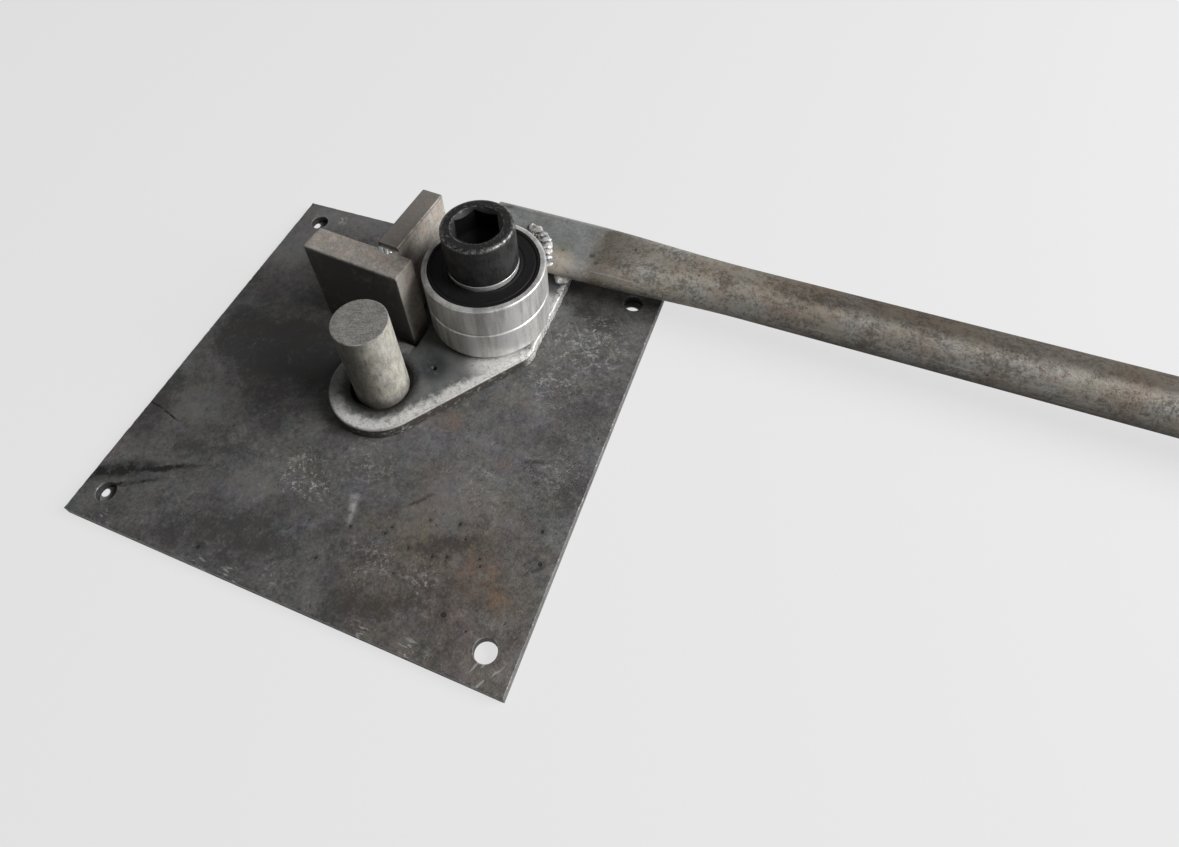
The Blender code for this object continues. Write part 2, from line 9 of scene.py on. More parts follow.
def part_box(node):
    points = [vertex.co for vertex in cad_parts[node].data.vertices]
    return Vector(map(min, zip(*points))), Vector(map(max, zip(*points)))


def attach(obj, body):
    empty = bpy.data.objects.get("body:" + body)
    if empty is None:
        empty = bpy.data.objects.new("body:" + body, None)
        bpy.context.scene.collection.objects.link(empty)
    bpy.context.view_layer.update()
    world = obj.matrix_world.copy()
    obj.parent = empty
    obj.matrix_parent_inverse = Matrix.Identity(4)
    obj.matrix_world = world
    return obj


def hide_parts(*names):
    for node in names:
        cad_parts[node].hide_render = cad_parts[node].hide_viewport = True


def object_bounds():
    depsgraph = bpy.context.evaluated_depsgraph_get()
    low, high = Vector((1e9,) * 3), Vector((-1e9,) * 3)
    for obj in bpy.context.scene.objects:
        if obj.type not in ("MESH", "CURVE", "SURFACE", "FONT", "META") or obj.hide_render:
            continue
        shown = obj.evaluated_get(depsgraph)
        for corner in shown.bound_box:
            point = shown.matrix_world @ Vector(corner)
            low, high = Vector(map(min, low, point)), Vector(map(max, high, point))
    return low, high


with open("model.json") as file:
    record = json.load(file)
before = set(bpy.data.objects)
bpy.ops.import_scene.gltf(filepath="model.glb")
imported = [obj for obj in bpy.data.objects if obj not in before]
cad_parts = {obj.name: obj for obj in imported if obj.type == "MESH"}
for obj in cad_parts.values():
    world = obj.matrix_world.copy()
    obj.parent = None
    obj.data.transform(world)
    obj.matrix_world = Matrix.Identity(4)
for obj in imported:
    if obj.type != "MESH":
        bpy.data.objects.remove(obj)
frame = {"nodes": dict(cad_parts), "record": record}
cadLow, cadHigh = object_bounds()
mm = 0.001
scene = bpy.context.scene


# Node trees

def sign(operation, swapped=False):  # what an arithmetic sign does between a wire and a value
    def act(wire, other):
        return wire.maths(operation, *((other, wire) if swapped else (wire, other)))

    return act


class Wire:  # one output of a node: sums written on it add Math nodes to its tree
    def __init__(self, board, socket):
        self.board = board
        self.socket = socket

    def maths(self, operation, *values):
        return self.board.add("ShaderNodeMath", {"operation": operation}, dict(enumerate(values)))[0]

    def alone(self, operation):  # such as its SINE or ROUND
        return self.maths(operation, self)

    __add__, __radd__ = sign("ADD"), sign("ADD", True)
    __sub__, __rsub__ = sign("SUBTRACT"), sign("SUBTRACT", True)
    __mul__, __rmul__ = sign("MULTIPLY"), sign("MULTIPLY", True)
    __truediv__, __rtruediv__ = sign("DIVIDE"), sign("DIVIDE", True)
    __mod__, __pow__ = sign("FLOORED_MODULO"), sign("POWER")
    __gt__, __lt__ = sign("GREATER_THAN"), sign("LESS_THAN")
    least, most = sign("MINIMUM"), sign("MAXIMUM")


class Outlets:  # the outputs of one node, by name or number
    def __init__(self, board, node):
        self.board = board
        self.node = node

    def __getitem__(self, key):
        return Wire(self.board, self.node.outputs[key])


class Board:  # a node tree that takes one node at a time
    def __init__(self, tree):
        self.tree = tree

    def add(self, kind, settings=None, inputs=None):
        node = self.tree.nodes.new(kind)
        for name, value in (settings or {}).items():
            setattr(node, name, value)
        for key, value in (inputs or {}).items():
            if isinstance(value, Wire):
                self.tree.links.new(value.socket, node.inputs[key])
            else:
                node.inputs[key].default_value = value
        return Outlets(self, node)

    def parts(self, vector):
        split = self.add("ShaderNodeSeparateXYZ", {}, {0: vector})
        return split[0], split[1], split[2]

    def vector(self, x, y, z):
        return self.add("ShaderNodeCombineXYZ", {}, {0: x, 1: y, 2: z})[0]

    def vectors(self, operation, first, second):
        return self.add("ShaderNodeVectorMath", {"operation": operation}, {0: first, 1: second})[0]

    def stretch(self, value, factor):  # a vector times a number
        return self.add("ShaderNodeVectorMath", {"operation": "SCALE"}, {0: value, "Scale": factor})[0]


class Paint(Board):  # a material under way: its colour is laid on in coats
    def __init__(self, name, marks=None):
        self.marks = marks
        self.material = bpy.data.materials.new(name)
        self.material.use_nodes = True
        super().__init__(self.material.node_tree)
        self.tree.nodes.clear()
        self.place = self.add("ShaderNodeTexCoord")["Object"]
        self.x, self.y, self.z = self.parts(self.place)

    # cloudy grain: size is that of its largest clouds in metres, drawn out along a turned X by stretch
    def grain(self, size, detail=3.0, rough=0.55, stretch=(1, 1, 1), turn=0.0, shift=0.0):
        mapped = self.add(
            "ShaderNodeMapping",
            {"vector_type": "TEXTURE"},
            {
                "Vector": self.place,
                "Location": (shift, shift, shift),
                "Rotation": (0, 0, math.radians(turn)),
                "Scale": stretch,
            },
        )["Vector"]
        given = {"Vector": mapped, "Scale": 1 / size, "Detail": detail, "Roughness": rough}
        return self.add("ShaderNodeTexNoise", {}, given)["Fac"]

    # 1 in round specks of a given radius, one in each cell that is kept
    def specks(self, spacing, radius, kept):
        cells = self.add("ShaderNodeTexVoronoi", {}, {"Vector": self.place, "Scale": 1 / spacing})
        near = self.ramp(cells["Distance"], radius / spacing, 0.4 * radius / spacing)
        choice = self.add("ShaderNodeSeparateColor", {}, {0: cells["Color"]})[0]
        return near * (choice < kept)

    # 0 at low and 1 at high, eased; low may be the larger one
    def ramp(self, value, low, high):
        given = {"Value": value, "From Min": low, "From Max": high}
        return self.add("ShaderNodeMapRange", {"interpolation_type": "SMOOTHSTEP"}, given)["Result"]

    # distance from an upright axis
    def reach(self, x, y):
        flat = self.vector(self.x, self.y, 0.0)
        return self.add("ShaderNodeVectorMath", {"operation": "DISTANCE"}, {0: flat, 1: (x, y, 0)})["Value"]

    # 1 at a place on the plan, 0 from its radius on
    def spot(self, x, y, radius, core=0.2):
        return self.ramp(self.reach(x * mm, y * mm), radius * mm, core * radius * mm)

    # 1 along a line on the plan, fading to its sides and ends, with ragged sides where sway is over 0
    def stroke(self, start, end, width, sway=0.0):
        first = Vector(start) * mm
        run = Vector(end) * mm - first
        along = run.normalized()
        run = run.length
        across = (self.x - first.x) * -along.y + (self.y - first.y) * along.x
        ahead = (self.x - first.x) * along.x + (self.y - first.y) * along.y
        if sway:
            ragged = self.grain(0.007, 6, 0.75, shift=first.x / mm) - 0.5
            across = across + sway * mm * ragged
        side = self.ramp(across.alone("ABSOLUTE"), width * mm, 0.0)
        return side * self.ramp(ahead, 0.0, 0.15 * run) * self.ramp(ahead, run, 0.5 * run)

    def mark(self, name):  # the mesh's own mark of its wear, scale or ripple; scale also carries painted shade in holes, the punch mark and the bolt's socket
        return self.add("ShaderNodeAttribute", {"attribute_name": name})["Fac"]

    # the worn edges, where patchy grain lets them show
    def rubbed(self, low, high, *grain, **more):
        return self.mark("wear") * self.ramp(self.grain(*grain, **more), low, high)

    def blend(self, share, under, over, way="MIX"):
        kind = {"data_type": "RGBA", "blend_type": way}
        return self.add("ShaderNodeMix", kind, {0: share, 6: under, 7: over})[2]

    def begin(self, share, under, over):
        self.colour = self.blend(share, self.marks[under], self.marks[over])

    def lay(self, share, over, way="MIX"):  # over is the name of a colour or a blend
        if isinstance(over, str):
            over = self.marks[over]
        self.colour = self.blend(share, self.colour, over, way)

    def tint(self, share, over):  # colours what is there and keeps its light and dark
        self.lay(share, over, "MULTIPLY")

    def bump(self, height, depth, under=None):
        given = {"Height": height, "Distance": depth, "Strength": 1.0}
        if under is not None:
            given["Normal"] = under
        return self.add("ShaderNodeBump", {}, given)["Normal"]

    def finish(self, roughness, metallic, normal, specular=0.5):
        given = {
            "Base Color": self.colour,
            "Roughness": roughness,
            "Metallic": metallic,
            "Normal": normal,
            "Specular IOR Level": specular,
        }
        shader = self.add("ShaderNodeBsdfPrincipled", {}, given)["BSDF"]
        self.add("ShaderNodeOutputMaterial", {}, {"Surface": shader})
        return self.material


def shade(red, green, blue):
    return (red, green, blue, 1.0)


# Finishes

plateMarks = {
    "dark": shade(0.062, 0.060, 0.059),
    "light": shade(0.178, 0.174, 0.168),
    "violet": shade(1.02, 0.965, 1.03),
    "olive": shade(1.02, 1.00, 0.94),
    "blue": shade(0.95, 1.00, 1.03),
    "brown": shade(1.06, 0.92, 0.81),
    "rust": shade(0.215, 0.118, 0.068),
    "bare": shade(0.60, 0.595, 0.585),
    "soot": shade(0.009, 0.009, 0.008),
    "brownZone": (58, -66, 56),
    "scuffs": (
        (-12, -45, 15, 1.0), (-4, -50, 9, 1.0), (72, 52, 30, 0.6), (66, 28, 22, 0.5), (82, -12, 20, 0.35),
        (30, -66, 17, 0.5), (58, -26, 18, 0.35), (10, -30, 22, 0.4), (52, -66, 14, 0.45), (2, -84, 12, 0.4),
    ),
    "rustSpots": ((70, -57, 11), (33.5, -3.1, 7), (80, -63, 7), (60, -14, 6)),
    "pits": (
        (11.3, -73.2, 1.0), (17, -58, 0.8), (30.9, -55.7, 0.8), (51.4, -57.4, 0.9), (56.6, -55.7, 1.0),
        (64.6, -74.7, 1.6), (85.3, -34.4, 1.1), (55.6, -42.4, 1.0), (41.7, -57.6, 0.8), (32.1, -52.5, 0.8),
        (44.3, -44.9, 0.7), (69.4, -54.5, 0.8), (68, -52, 0.7), (-33.2, -85.8, 1.2), (89, -46, 1.2),
        (41, -68, 0.7), (60, -47, 0.7),
    ),
    "tears": (((11.4, -44.6), (15.8, -55), 3.2), ((13.2, -48), (17, -61), 1.8)),
    "scratches": (
        ((33.5, -43.8), (44, -31), 1.3), ((65.8, -11), (83, -4.6), 1.9),
        ((84, -49.4), (88.6, -42.5), 1.5), ((87, -50.2), (92, -44.4), 1.5),
    ),
    "pitted": (46, -52, 22),
    "soots": (((-99, -78), (-64, -60), 5.6), ((-92, -74), (-44, -53), 2.2), ((-88, -80), (-62, -65.5), 1.6)),
    # dark strokes with their shares: the first three are painted shadow of the fence and post, the rest are
    # smears on the plate
    "smears": (
        ((-95, 6), (-10, 4), 20, 0.30), ((-64, 16), (-18, 12), 12, 0.16), ((-70, -8), (-18, -34), 13, 0.11),
        ((-74, -53), (-30, -43), 6, 0.11), ((-60, -84), (30, -66), 15, 0.10),
        ((20, -92), (70, -66), 13, 0.10), ((42, -58), (76, -40), 5, 0.10), ((88, -30), (94, 0), 8, 0.12),
        ((58, 70), (92, 62), 8, 0.16), ((-95, -20), (-88, -60), 12, 0.10), ((70, -6), (95, 60), 14, 0.06),
    ),
    # painted highlights: strokes where the plate's tone is lightened for its sheen
    "sheens": (
        ((-86, -46), (-44, -10), 14), ((30, -50), (80, -10), 14), ((-40, -62), (0, -40), 12),
        ((-100, 40), (-60, 100), 18), ((-100, 84), (-30, 92), 14),
    ),
    "hook": (((-95, -39), (-84, -40.6), 0.8), ((-87, -40.2), (-73, -44), 0.8)),
    "nicks": (86, -88, 10),
    "edgeChips": ((-15, -91.5, 7), (-30, -91.5, 5), (-78, -91, 7), (40, -91, 6), (60, -91, 8)),
    "holeChips": ((-85, 81, 6), (-86, -80, 4)),
    "backChip": (-72.2, 85.4, 3.4),
}


def millScale():
    p = Paint("mill scale", plateMarks)
    marks = p.marks
    cloud = p.grain(0.038, 5, 0.6)
    blotch = p.grain(0.010, 5, 0.68, shift=0.3)
    mottle = p.grain(0.0030, 4, 0.72, shift=0.9)
    fine = p.grain(0.0011, 4, 0.75)
    tone = 0.24 * cloud + 0.27 * blotch + 0.30 * mottle + 0.34 * fine
    # painted highlight: the sheen strokes lighten the tone
    for line in marks["sheens"]:
        tone = tone + 0.07 * p.stroke(*line, 8)
    # darkens the tone along the strokes, partly painted shadow of the fence and post
    for start, end, width, share in marks["smears"]:
        tone = tone - share * p.stroke(start, end, width, 14)
    p.begin(p.ramp(tone, 0.42, 0.73), "dark", "light")
    for index, name in enumerate(("violet", "olive", "blue")):
        patch = p.ramp(p.grain(0.013, 4, 0.6, shift=1.7 * index + 2), 0.46, 0.62)
        p.tint(patch, name)
    patch = p.spot(*marks["brownZone"]) * p.ramp(p.grain(0.014, 5, 0.65, shift=1.0), 0.26, 0.54)
    p.tint(patch, "brown")
    for x, y, radius in marks["rustSpots"]:
        bloom = p.spot(x, y, radius, 0.15) * p.ramp(p.grain(0.0026, 5, 0.75, shift=x), 0.44, 0.60)
        p.lay(bloom * 0.6, "rust")
    speckle = p.ramp(p.grain(0.0024, 5, 0.85, shift=2.0), 0.54, 0.62)
    dashes = p.ramp(p.grain(0.0016, 3, 0.7, (5, 1, 1), 28, 4.0), 0.57, 0.64)
    dashes = dashes.most(p.ramp(p.grain(0.0016, 3, 0.7, (5, 1, 1), -52, 7.0), 0.58, 0.65))
    scuffs = 0.16 * p.ramp(blotch, 0.42, 0.60)
    for x, y, radius, share in marks["scuffs"]:
        scuffs = (share * p.spot(x, y, radius, 0.1)).most(scuffs)
    scuffs = scuffs * speckle.most(0.35 * dashes)
    p.lay(scuffs * 0.8, "bare")
    for line in marks["tears"]:
        tear = p.stroke(*line, 2.5) * p.ramp(mottle, 0.22, 0.55)
        p.lay(tear * 0.34, "bare")
    for line in marks["scratches"]:
        scratch = p.stroke(*line, 4) * p.ramp(mottle, 0.3, 0.55)
        p.lay(scratch * 0.6, "soot")
    gouges = p.ramp(p.grain(0.0016, 3, 0.65, (4, 1, 1), 64, 5.0), 0.64, 0.73)
    gouges = gouges.most(p.ramp(p.grain(0.0021, 4, 0.7, shift=7.0), 0.66, 0.74))
    p.lay(gouges * 0.45, "soot")
    pits = p.specks(0.009, 0.0006, 0.35).most(p.specks(0.004, 0.0004, 0.25) * 0.6)
    pits = pits.most(p.specks(0.0026, 0.00055, 0.42) * p.spot(*marks["pitted"]) * 0.7)
    for x, y, radius in marks["pits"]:
        pits = pits.most(p.spot(x, y, radius, 0.5)).most(0.35 * p.spot(x, y, 2.6 * radius, 0.3))
    p.lay(pits * 0.8, "soot")
    soot = 0.0
    for line in marks["soots"]:
        soot = p.stroke(*line, 5).most(soot)
    for line in marks["hook"]:
        soot = p.stroke(*line, 2.5).most(soot)
    soot = (1.7 * soot * p.ramp(blotch + 0.5 * (mottle - 0.5), 0.28, 0.62)).least(1.0)
    p.lay(soot * 0.96, "soot")
    bare = p.spot(*marks["nicks"]) * p.ramp(p.grain(0.0012, 1, 0.5, (6, 1, 1), 62, 9.0), 0.58, 0.66)
    chipped = p.ramp(p.grain(0.0014, 3, 0.6, (3, 1, 1), 0, 3.0), 0.54, 0.64)
    for chip in marks["edgeChips"] + marks["holeChips"]:
        bare = bare.most(p.spot(*chip) * chipped)
    bare = bare.most(p.spot(*marks["backChip"], 0.5) * p.ramp(mottle, 0.42, 0.54))
    bare = bare.most(p.rubbed(0.50, 0.64, 0.003, 5, 0.8, shift=6.0) * 0.6)
    p.lay(bare * 0.75, "bare")
    # painted shade: the bolt holes' walls take the soot colour
    holeShade = p.mark("scale")
    p.lay(holeShade, "soot")
    roughness = 0.40 + 0.24 * fine + 0.14 * mottle - 0.12 * bare + 0.2 * soot
    metallic = (0.38 + 0.3 * bare) * (1 - 0.8 * holeShade)
    normal = p.bump(blotch, 0.00014)
    normal = p.bump(fine + mottle - 1.2 * pits - gouges, 0.00012, normal)
    return p.finish(roughness, metallic, normal)


armMarks = {
    "blue": shade(0.100, 0.112, 0.118),
    "grey": shade(0.165, 0.162, 0.152),
    "ground": shade(0.80, 0.79, 0.77),
    "grease": shade(0.020, 0.018, 0.017),
    "teal": shade(0.026, 0.031, 0.033),
    "side": shade(0.085, 0.076, 0.068),
    "rim": shade(0.58, 0.57, 0.56),
    "greaseRing": (13.2, 17.6),
    "band": 7.0,  # width of the ground strip along the nose and the slanted edge
    "frosted": ((41, 27, 16), (54, 44, 10), (50, 62, 9)),  # ground patches beside the roller
    "groundSide": (0.8, -0.6),  # the way that the nose's ground band is brightest; it fades on the far side, partly painted shade where the post's shadow falls
    "dimple": (17, 14.6, 10),
    "torchStrip": 3.4,
}


def groundPlate():
    p = Paint("ground plate", armMarks)
    marks = p.marks
    reach = p.reach(0, 0)
    blotch = p.grain(0.009, 5, 0.65)
    mottle = p.grain(0.0028, 4, 0.72)
    fine = p.grain(0.0009, 4, 0.75)
    swirl = p.grain(0.0008, 2, 0.6, (6, 1, 1), 33).most(p.grain(0.0008, 2, 0.6, (6, 1, 1), -40, 2.0))
    p.begin(p.ramp(blotch + 0.4 * mottle, 0.48, 0.88), "blue", "grey")
    stain = p.spot(*marks["dimple"], 0.3) * p.ramp(blotch + 0.4 * (mottle - 0.5), 0.25, 0.50)
    p.lay(stain * 0.85, "teal")
    beside = p.x * math.cos(armSlant) + p.y * math.sin(armSlant)
    ahead = p.y * math.cos(armSlant) - p.x * math.sin(armSlant)
    onNose = p.ramp(ahead, 0.002, -0.002).most(p.ramp(p.x, 0.006, 0.003))
    toEdge = reach * onNose + beside * (1 - onNose) + 0.006 * (blotch - 0.5) + 0.007 * (mottle - 0.5)
    strip = p.ramp(toEdge, noseRadius - marks["band"] * mm, noseRadius - 0.30 * marks["band"] * mm)
    # partly painted shade: the ground band fades on the nose's left, where the post's shadow falls
    x, y = marks["groundSide"]
    side = p.ramp((p.x * x + p.y * y) / reach + 0.5 * (blotch - 0.5), -0.35, 0.55)
    strip = strip * (0.35 + 0.65 * side.most(1 - onNose))
    for patch in marks["frosted"]:
        strip = strip.most(0.9 * p.spot(*patch, 0.3))
    ground = strip * p.ramp(0.5 * swirl + 0.6 * fine + 0.4 * mottle, 0.46, 0.84)
    p.lay(ground, "ground")
    inner, outer = marks["greaseRing"]
    smear = reach + 0.006 * (p.grain(0.003, 5, 0.75) - 0.5)
    grease = p.ramp(smear, outer * mm, inner * mm)
    p.lay(grease * 0.94, "grease")
    below = p.ramp(p.z, armHigh.z - 0.5 * mm, armHigh.z - 1.1 * mm)
    p.lay(below * p.ramp(mottle, 0.2, 0.5), "side")
    torch = p.ramp(p.x + 0.003 * (mottle - 0.5), armHigh.x - marks["torchStrip"] * mm, armHigh.x - 1.2 * mm)
    torch = torch * p.ramp(p.y, 0.030, 0.036)
    crust = torch * p.ramp(0.6 * mottle + 0.6 * fine, 0.46, 0.66)
    p.tint(p.mark("wear"), "rim")
    p.lay(crust * 0.9, "ground")
    # painted shade: the punch mark's hollow takes the grease colour
    p.lay(p.mark("scale"), "grease")
    roughness = 0.44 + 0.26 * fine - 0.08 * crust - 0.12 * grease
    normal = p.bump(swirl + fine, 0.00009)
    normal = p.bump(blotch + mottle * torch * 4, 0.00014, normal)
    return p.finish(roughness, 0.35 + 0.2 * ground.most(crust), normal)


barMarks = {
    "pale": shade(0.540, 0.511, 0.470),
    "dull": shade(0.252, 0.232, 0.209),
    "pink": shade(1.05, 0.97, 0.93),
    "dark": shade(0.112, 0.104, 0.096),
    "bare": shade(0.42, 0.40, 0.37),
    "soot": shade(0.024, 0.022, 0.020),
}


def sawnBar():
    p = Paint("sawn bar", barMarks)
    cloud = p.grain(0.012, 5, 0.65)
    fine = p.grain(0.0007, 3, 0.65)
    mottle = p.grain(0.0026, 4, 0.7)
    streak = p.grain(0.0012, 3, 0.6, (1, 1, 7))
    tone = 0.26 * cloud + 0.16 * streak + 0.32 * fine + 0.34 * mottle
    p.begin(p.ramp(tone, 0.40, 0.70), "dull", "pale")
    p.tint(p.ramp(p.grain(0.009, 4, shift=4.0), 0.42, 0.62), "pink")
    scale = p.mark("scale") * p.ramp(cloud + 0.5 * (mottle - 0.5), 0.06, 0.48)
    p.lay(scale, "dark")
    rubbed = p.rubbed(0.40, 0.60, 0.003, 4, 0.7)
    p.lay(rubbed * 0.6, "bare")
    p.lay(p.specks(0.0035, 0.0004, 0.35) * 0.6, "soot")
    roughness = 0.56 + 0.24 * fine - 0.10 * rubbed
    normal = p.bump(streak + fine + mottle, 0.00007)
    return p.finish(roughness, 0.15 + 0.2 * rubbed, normal, 0.2)


postMarks = {
    "pale": shade(0.530, 0.512, 0.468),
    "dull": shade(0.245, 0.232, 0.208),
    "sideShade": shade(0.47, 0.46, 0.45),
    "handled": (0.69, 0.72),  # the lit side; the post's far side is painted darker, painted shade
    "top": shade(0.128, 0.124, 0.116),
    "topPale": shade(0.290, 0.280, 0.262),
    "green": shade(1.0, 1.01, 0.92),
    "bare": shade(0.44, 0.42, 0.39),
    "grimeAndShade": shade(0.045, 0.039, 0.034),
    "grimeLevels": (9, 17),
}


def postSteel():
    p = Paint("post steel", postMarks)
    marks = p.marks
    cloud = p.grain(0.008, 5, 0.65)
    fine = p.grain(0.0006, 3, 0.65)
    mottle = p.grain(0.0024, 4, 0.7, (1, 1, 2.2))
    streak = p.grain(0.0010, 3, 0.6, (1, 1, 10))
    tone = 0.26 * cloud + 0.11 * streak + 0.27 * fine + 0.40 * mottle
    p.begin(p.ramp(tone, 0.40, 0.66), "dull", "pale")
    # painted shade: the post's side turned away from the light is tinted darker
    x, y = marks["handled"]
    away = p.ramp((p.x * x + p.y * y) / postRadius + 0.4 * (cloud - 0.5), 0.45, -0.55)
    p.tint(away, "sideShade")
    p.tint(p.ramp(p.grain(0.008, 4, shift=3.0), 0.42, 0.62), "green")
    low, high = marks["grimeLevels"]
    grimeAndShade = p.ramp(p.z + 0.008 * (cloud - 0.5), high * mm, low * mm)
    p.lay(grimeAndShade * 0.6, "grimeAndShade")
    onTop = p.ramp(p.z, postHigh.z - 0.6 * mm, postHigh.z - 0.3 * mm)
    kerf = p.grain(0.0006, 2, 0.5, (10, 1, 1), 20)
    grit = 0.45 * fine + 0.42 * p.grain(0.0019, 5, 0.78, shift=2.0) + 0.15 * kerf + 0.12 * cloud
    sawn = p.blend(p.ramp(grit, 0.46, 0.68), marks["top"], marks["topPale"])
    p.lay(onTop, sawn)
    rubbed = p.rubbed(0.42, 0.60, 0.003, 4, 0.7)
    p.lay(rubbed * 0.6, "bare")
    p.lay(p.specks(0.0042, 0.0005, 0.35) * 0.55, "grimeAndShade")
    roughness = 0.52 + 0.24 * fine - 0.1 * rubbed
    normal = p.bump(fine + streak + mottle, 0.00006)
    return p.finish(roughness, 0.12 + 0.2 * rubbed, normal, 0.3)


ringMarks = {
    "steel": shade(0.70, 0.695, 0.68),
    "smudge": shade(0.36, 0.352, 0.34),
    "stain": shade(0.13, 0.12, 0.11),
}


def bearingSteel():
    p = Paint("bearing steel", ringMarks)
    hoops = p.grain(0.0005, 3, 0.6, (400, 400, 1))
    smear = p.grain(0.006, 4, 0.65, (1, 1, 9))
    dust = p.grain(0.0010, 4, 0.7)
    p.begin(p.ramp(smear + 0.3 * dust, 0.50, 0.84), "steel", "smudge")
    stains = p.ramp(p.grain(0.0035, 5, 0.72, (1, 1, 2.5), shift=4.0), 0.60, 0.72)
    p.lay(stains * 0.34, "stain")
    roughness = 0.26 + 0.14 * hoops + 0.16 * p.ramp(smear, 0.42, 0.68)
    return p.finish(roughness, 0.54, p.bump(hoops, 0.00002), 0.3)


sealMarks = {
    "rubber": shade(0.0055, 0.0055, 0.006),
    "dusty": shade(0.030, 0.029, 0.028),
    "fleck": shade(0.14, 0.138, 0.135),
}


def sealRubber():
    p = Paint("seal rubber", sealMarks)
    skin = p.grain(0.0006, 3, 0.6)
    dust = p.ramp(p.grain(0.003, 5, 0.7), 0.55, 0.75)
    p.begin(dust * 0.3, "rubber", "dusty")
    flecks = p.specks(0.0013, 0.00022, 0.22) * p.ramp(dust, 0.0, 0.4)
    p.lay(flecks, "fleck")
    roughness = 0.56 + 0.16 * skin + 0.12 * dust
    return p.finish(roughness, 0.0, p.bump(skin, 0.00005), 0.2)


boltMarks = {
    "oxide": shade(0.011, 0.011, 0.0115),
    "rubbedOxide": shade(0.046, 0.045, 0.045),
    "top": shade(0.022, 0.0215, 0.021),
    "bare": shade(0.50, 0.49, 0.48),
    # painted shade inside the hex socket
    "deep": shade(0.002, 0.002, 0.002),
}


def blackOxide():
    p = Paint("black oxide", boltMarks)
    cloud = p.grain(0.007, 5, 0.65)
    fine = p.grain(0.0007, 3, 0.6)
    scratch = p.grain(0.0008, 3, 0.65, (1, 1, 7))
    tone = 0.8 * cloud + 0.35 * fine + 0.35 * scratch
    p.begin(p.ramp(tone, 0.54, 0.90), "oxide", "rubbedOxide")
    onTop = p.ramp(p.z, cadHigh.z - 1.2 * mm, cadHigh.z - 0.4 * mm)
    p.lay(onTop * p.ramp(cloud + 0.5 * (fine - 0.5), 0.25, 0.60), "top")
    rubbed = p.rubbed(0.42, 0.62, 0.0017, 5, 0.8)
    p.lay(rubbed * 0.45, "bare")
    chips = onTop * p.ramp(p.grain(0.0016, 5, 0.8, shift=3.0), 0.56, 0.64)
    p.lay(chips * 0.22, "bare")
    # painted shade: the hex socket's walls and floor are painted near black
    inside = p.mark("scale")
    p.lay(inside, "deep")
    roughness = 0.40 + 0.18 * fine - 0.08 * rubbed
    metallic = (0.35 + 0.4 * rubbed) * (1 - inside)
    return p.finish(roughness, metallic, p.bump(fine, 0.00004), 0.25)


zincMarks = {"bright": shade(0.62, 0.62, 0.61), "dull": shade(0.42, 0.42, 0.41)}


def brightZinc():
    p = Paint("bright washer", zincMarks)
    fine = p.grain(0.0006, 3, 0.6)
    smear = p.ramp(p.grain(0.005, 4, 0.6), 0.4, 0.7)
    p.begin(smear, "bright", "dull")
    return p.finish(0.26 + 0.16 * fine, 0.6, p.bump(fine, 0.00001))


tubeMarks = {
    "grey": shade(0.480, 0.468, 0.436),
    "olive": shade(0.425, 0.398, 0.338),
    "brown": shade(0.400, 0.335, 0.276),
    "dark": shade(0.066, 0.057, 0.049),
    "rust": shade(0.235, 0.142, 0.092),
    # painted shade: tint for the tube's side turned away from the light
    "backShadeTint": shade(0.26, 0.245, 0.23),
    "pressed": shade(0.165, 0.172, 0.170),
    "pressedPale": shade(0.275, 0.280, 0.272),
    "bare": shade(0.52, 0.50, 0.465),
    "beige": shade(0.50, 0.425, 0.335),
    "moss": shade(0.150, 0.165, 0.120),
    "facing": (-0.92, 0.39),  # Y and Z of the way that its painted highlight faces; turned away from it the tube gets painted shade
    "darkBack": (85, 180),  # its painted shade on the back, and a plain darkening, grow from the one X to the other
    "pressedEnd": (56, 68),
    "seam": (58, 66, 92),  # dark mark where the round begins: from, darkest, to
    "flank": (47.5, 78, 12),
    "ridge": ((0, 106.6), (104, 104.4), 2.6),
    "mossSpot": (48, 88, 6),
    "pits": ((61.7, 86.6, 2.0), (64.9, 82.7, 1.7), (14, 106, 4)),
}


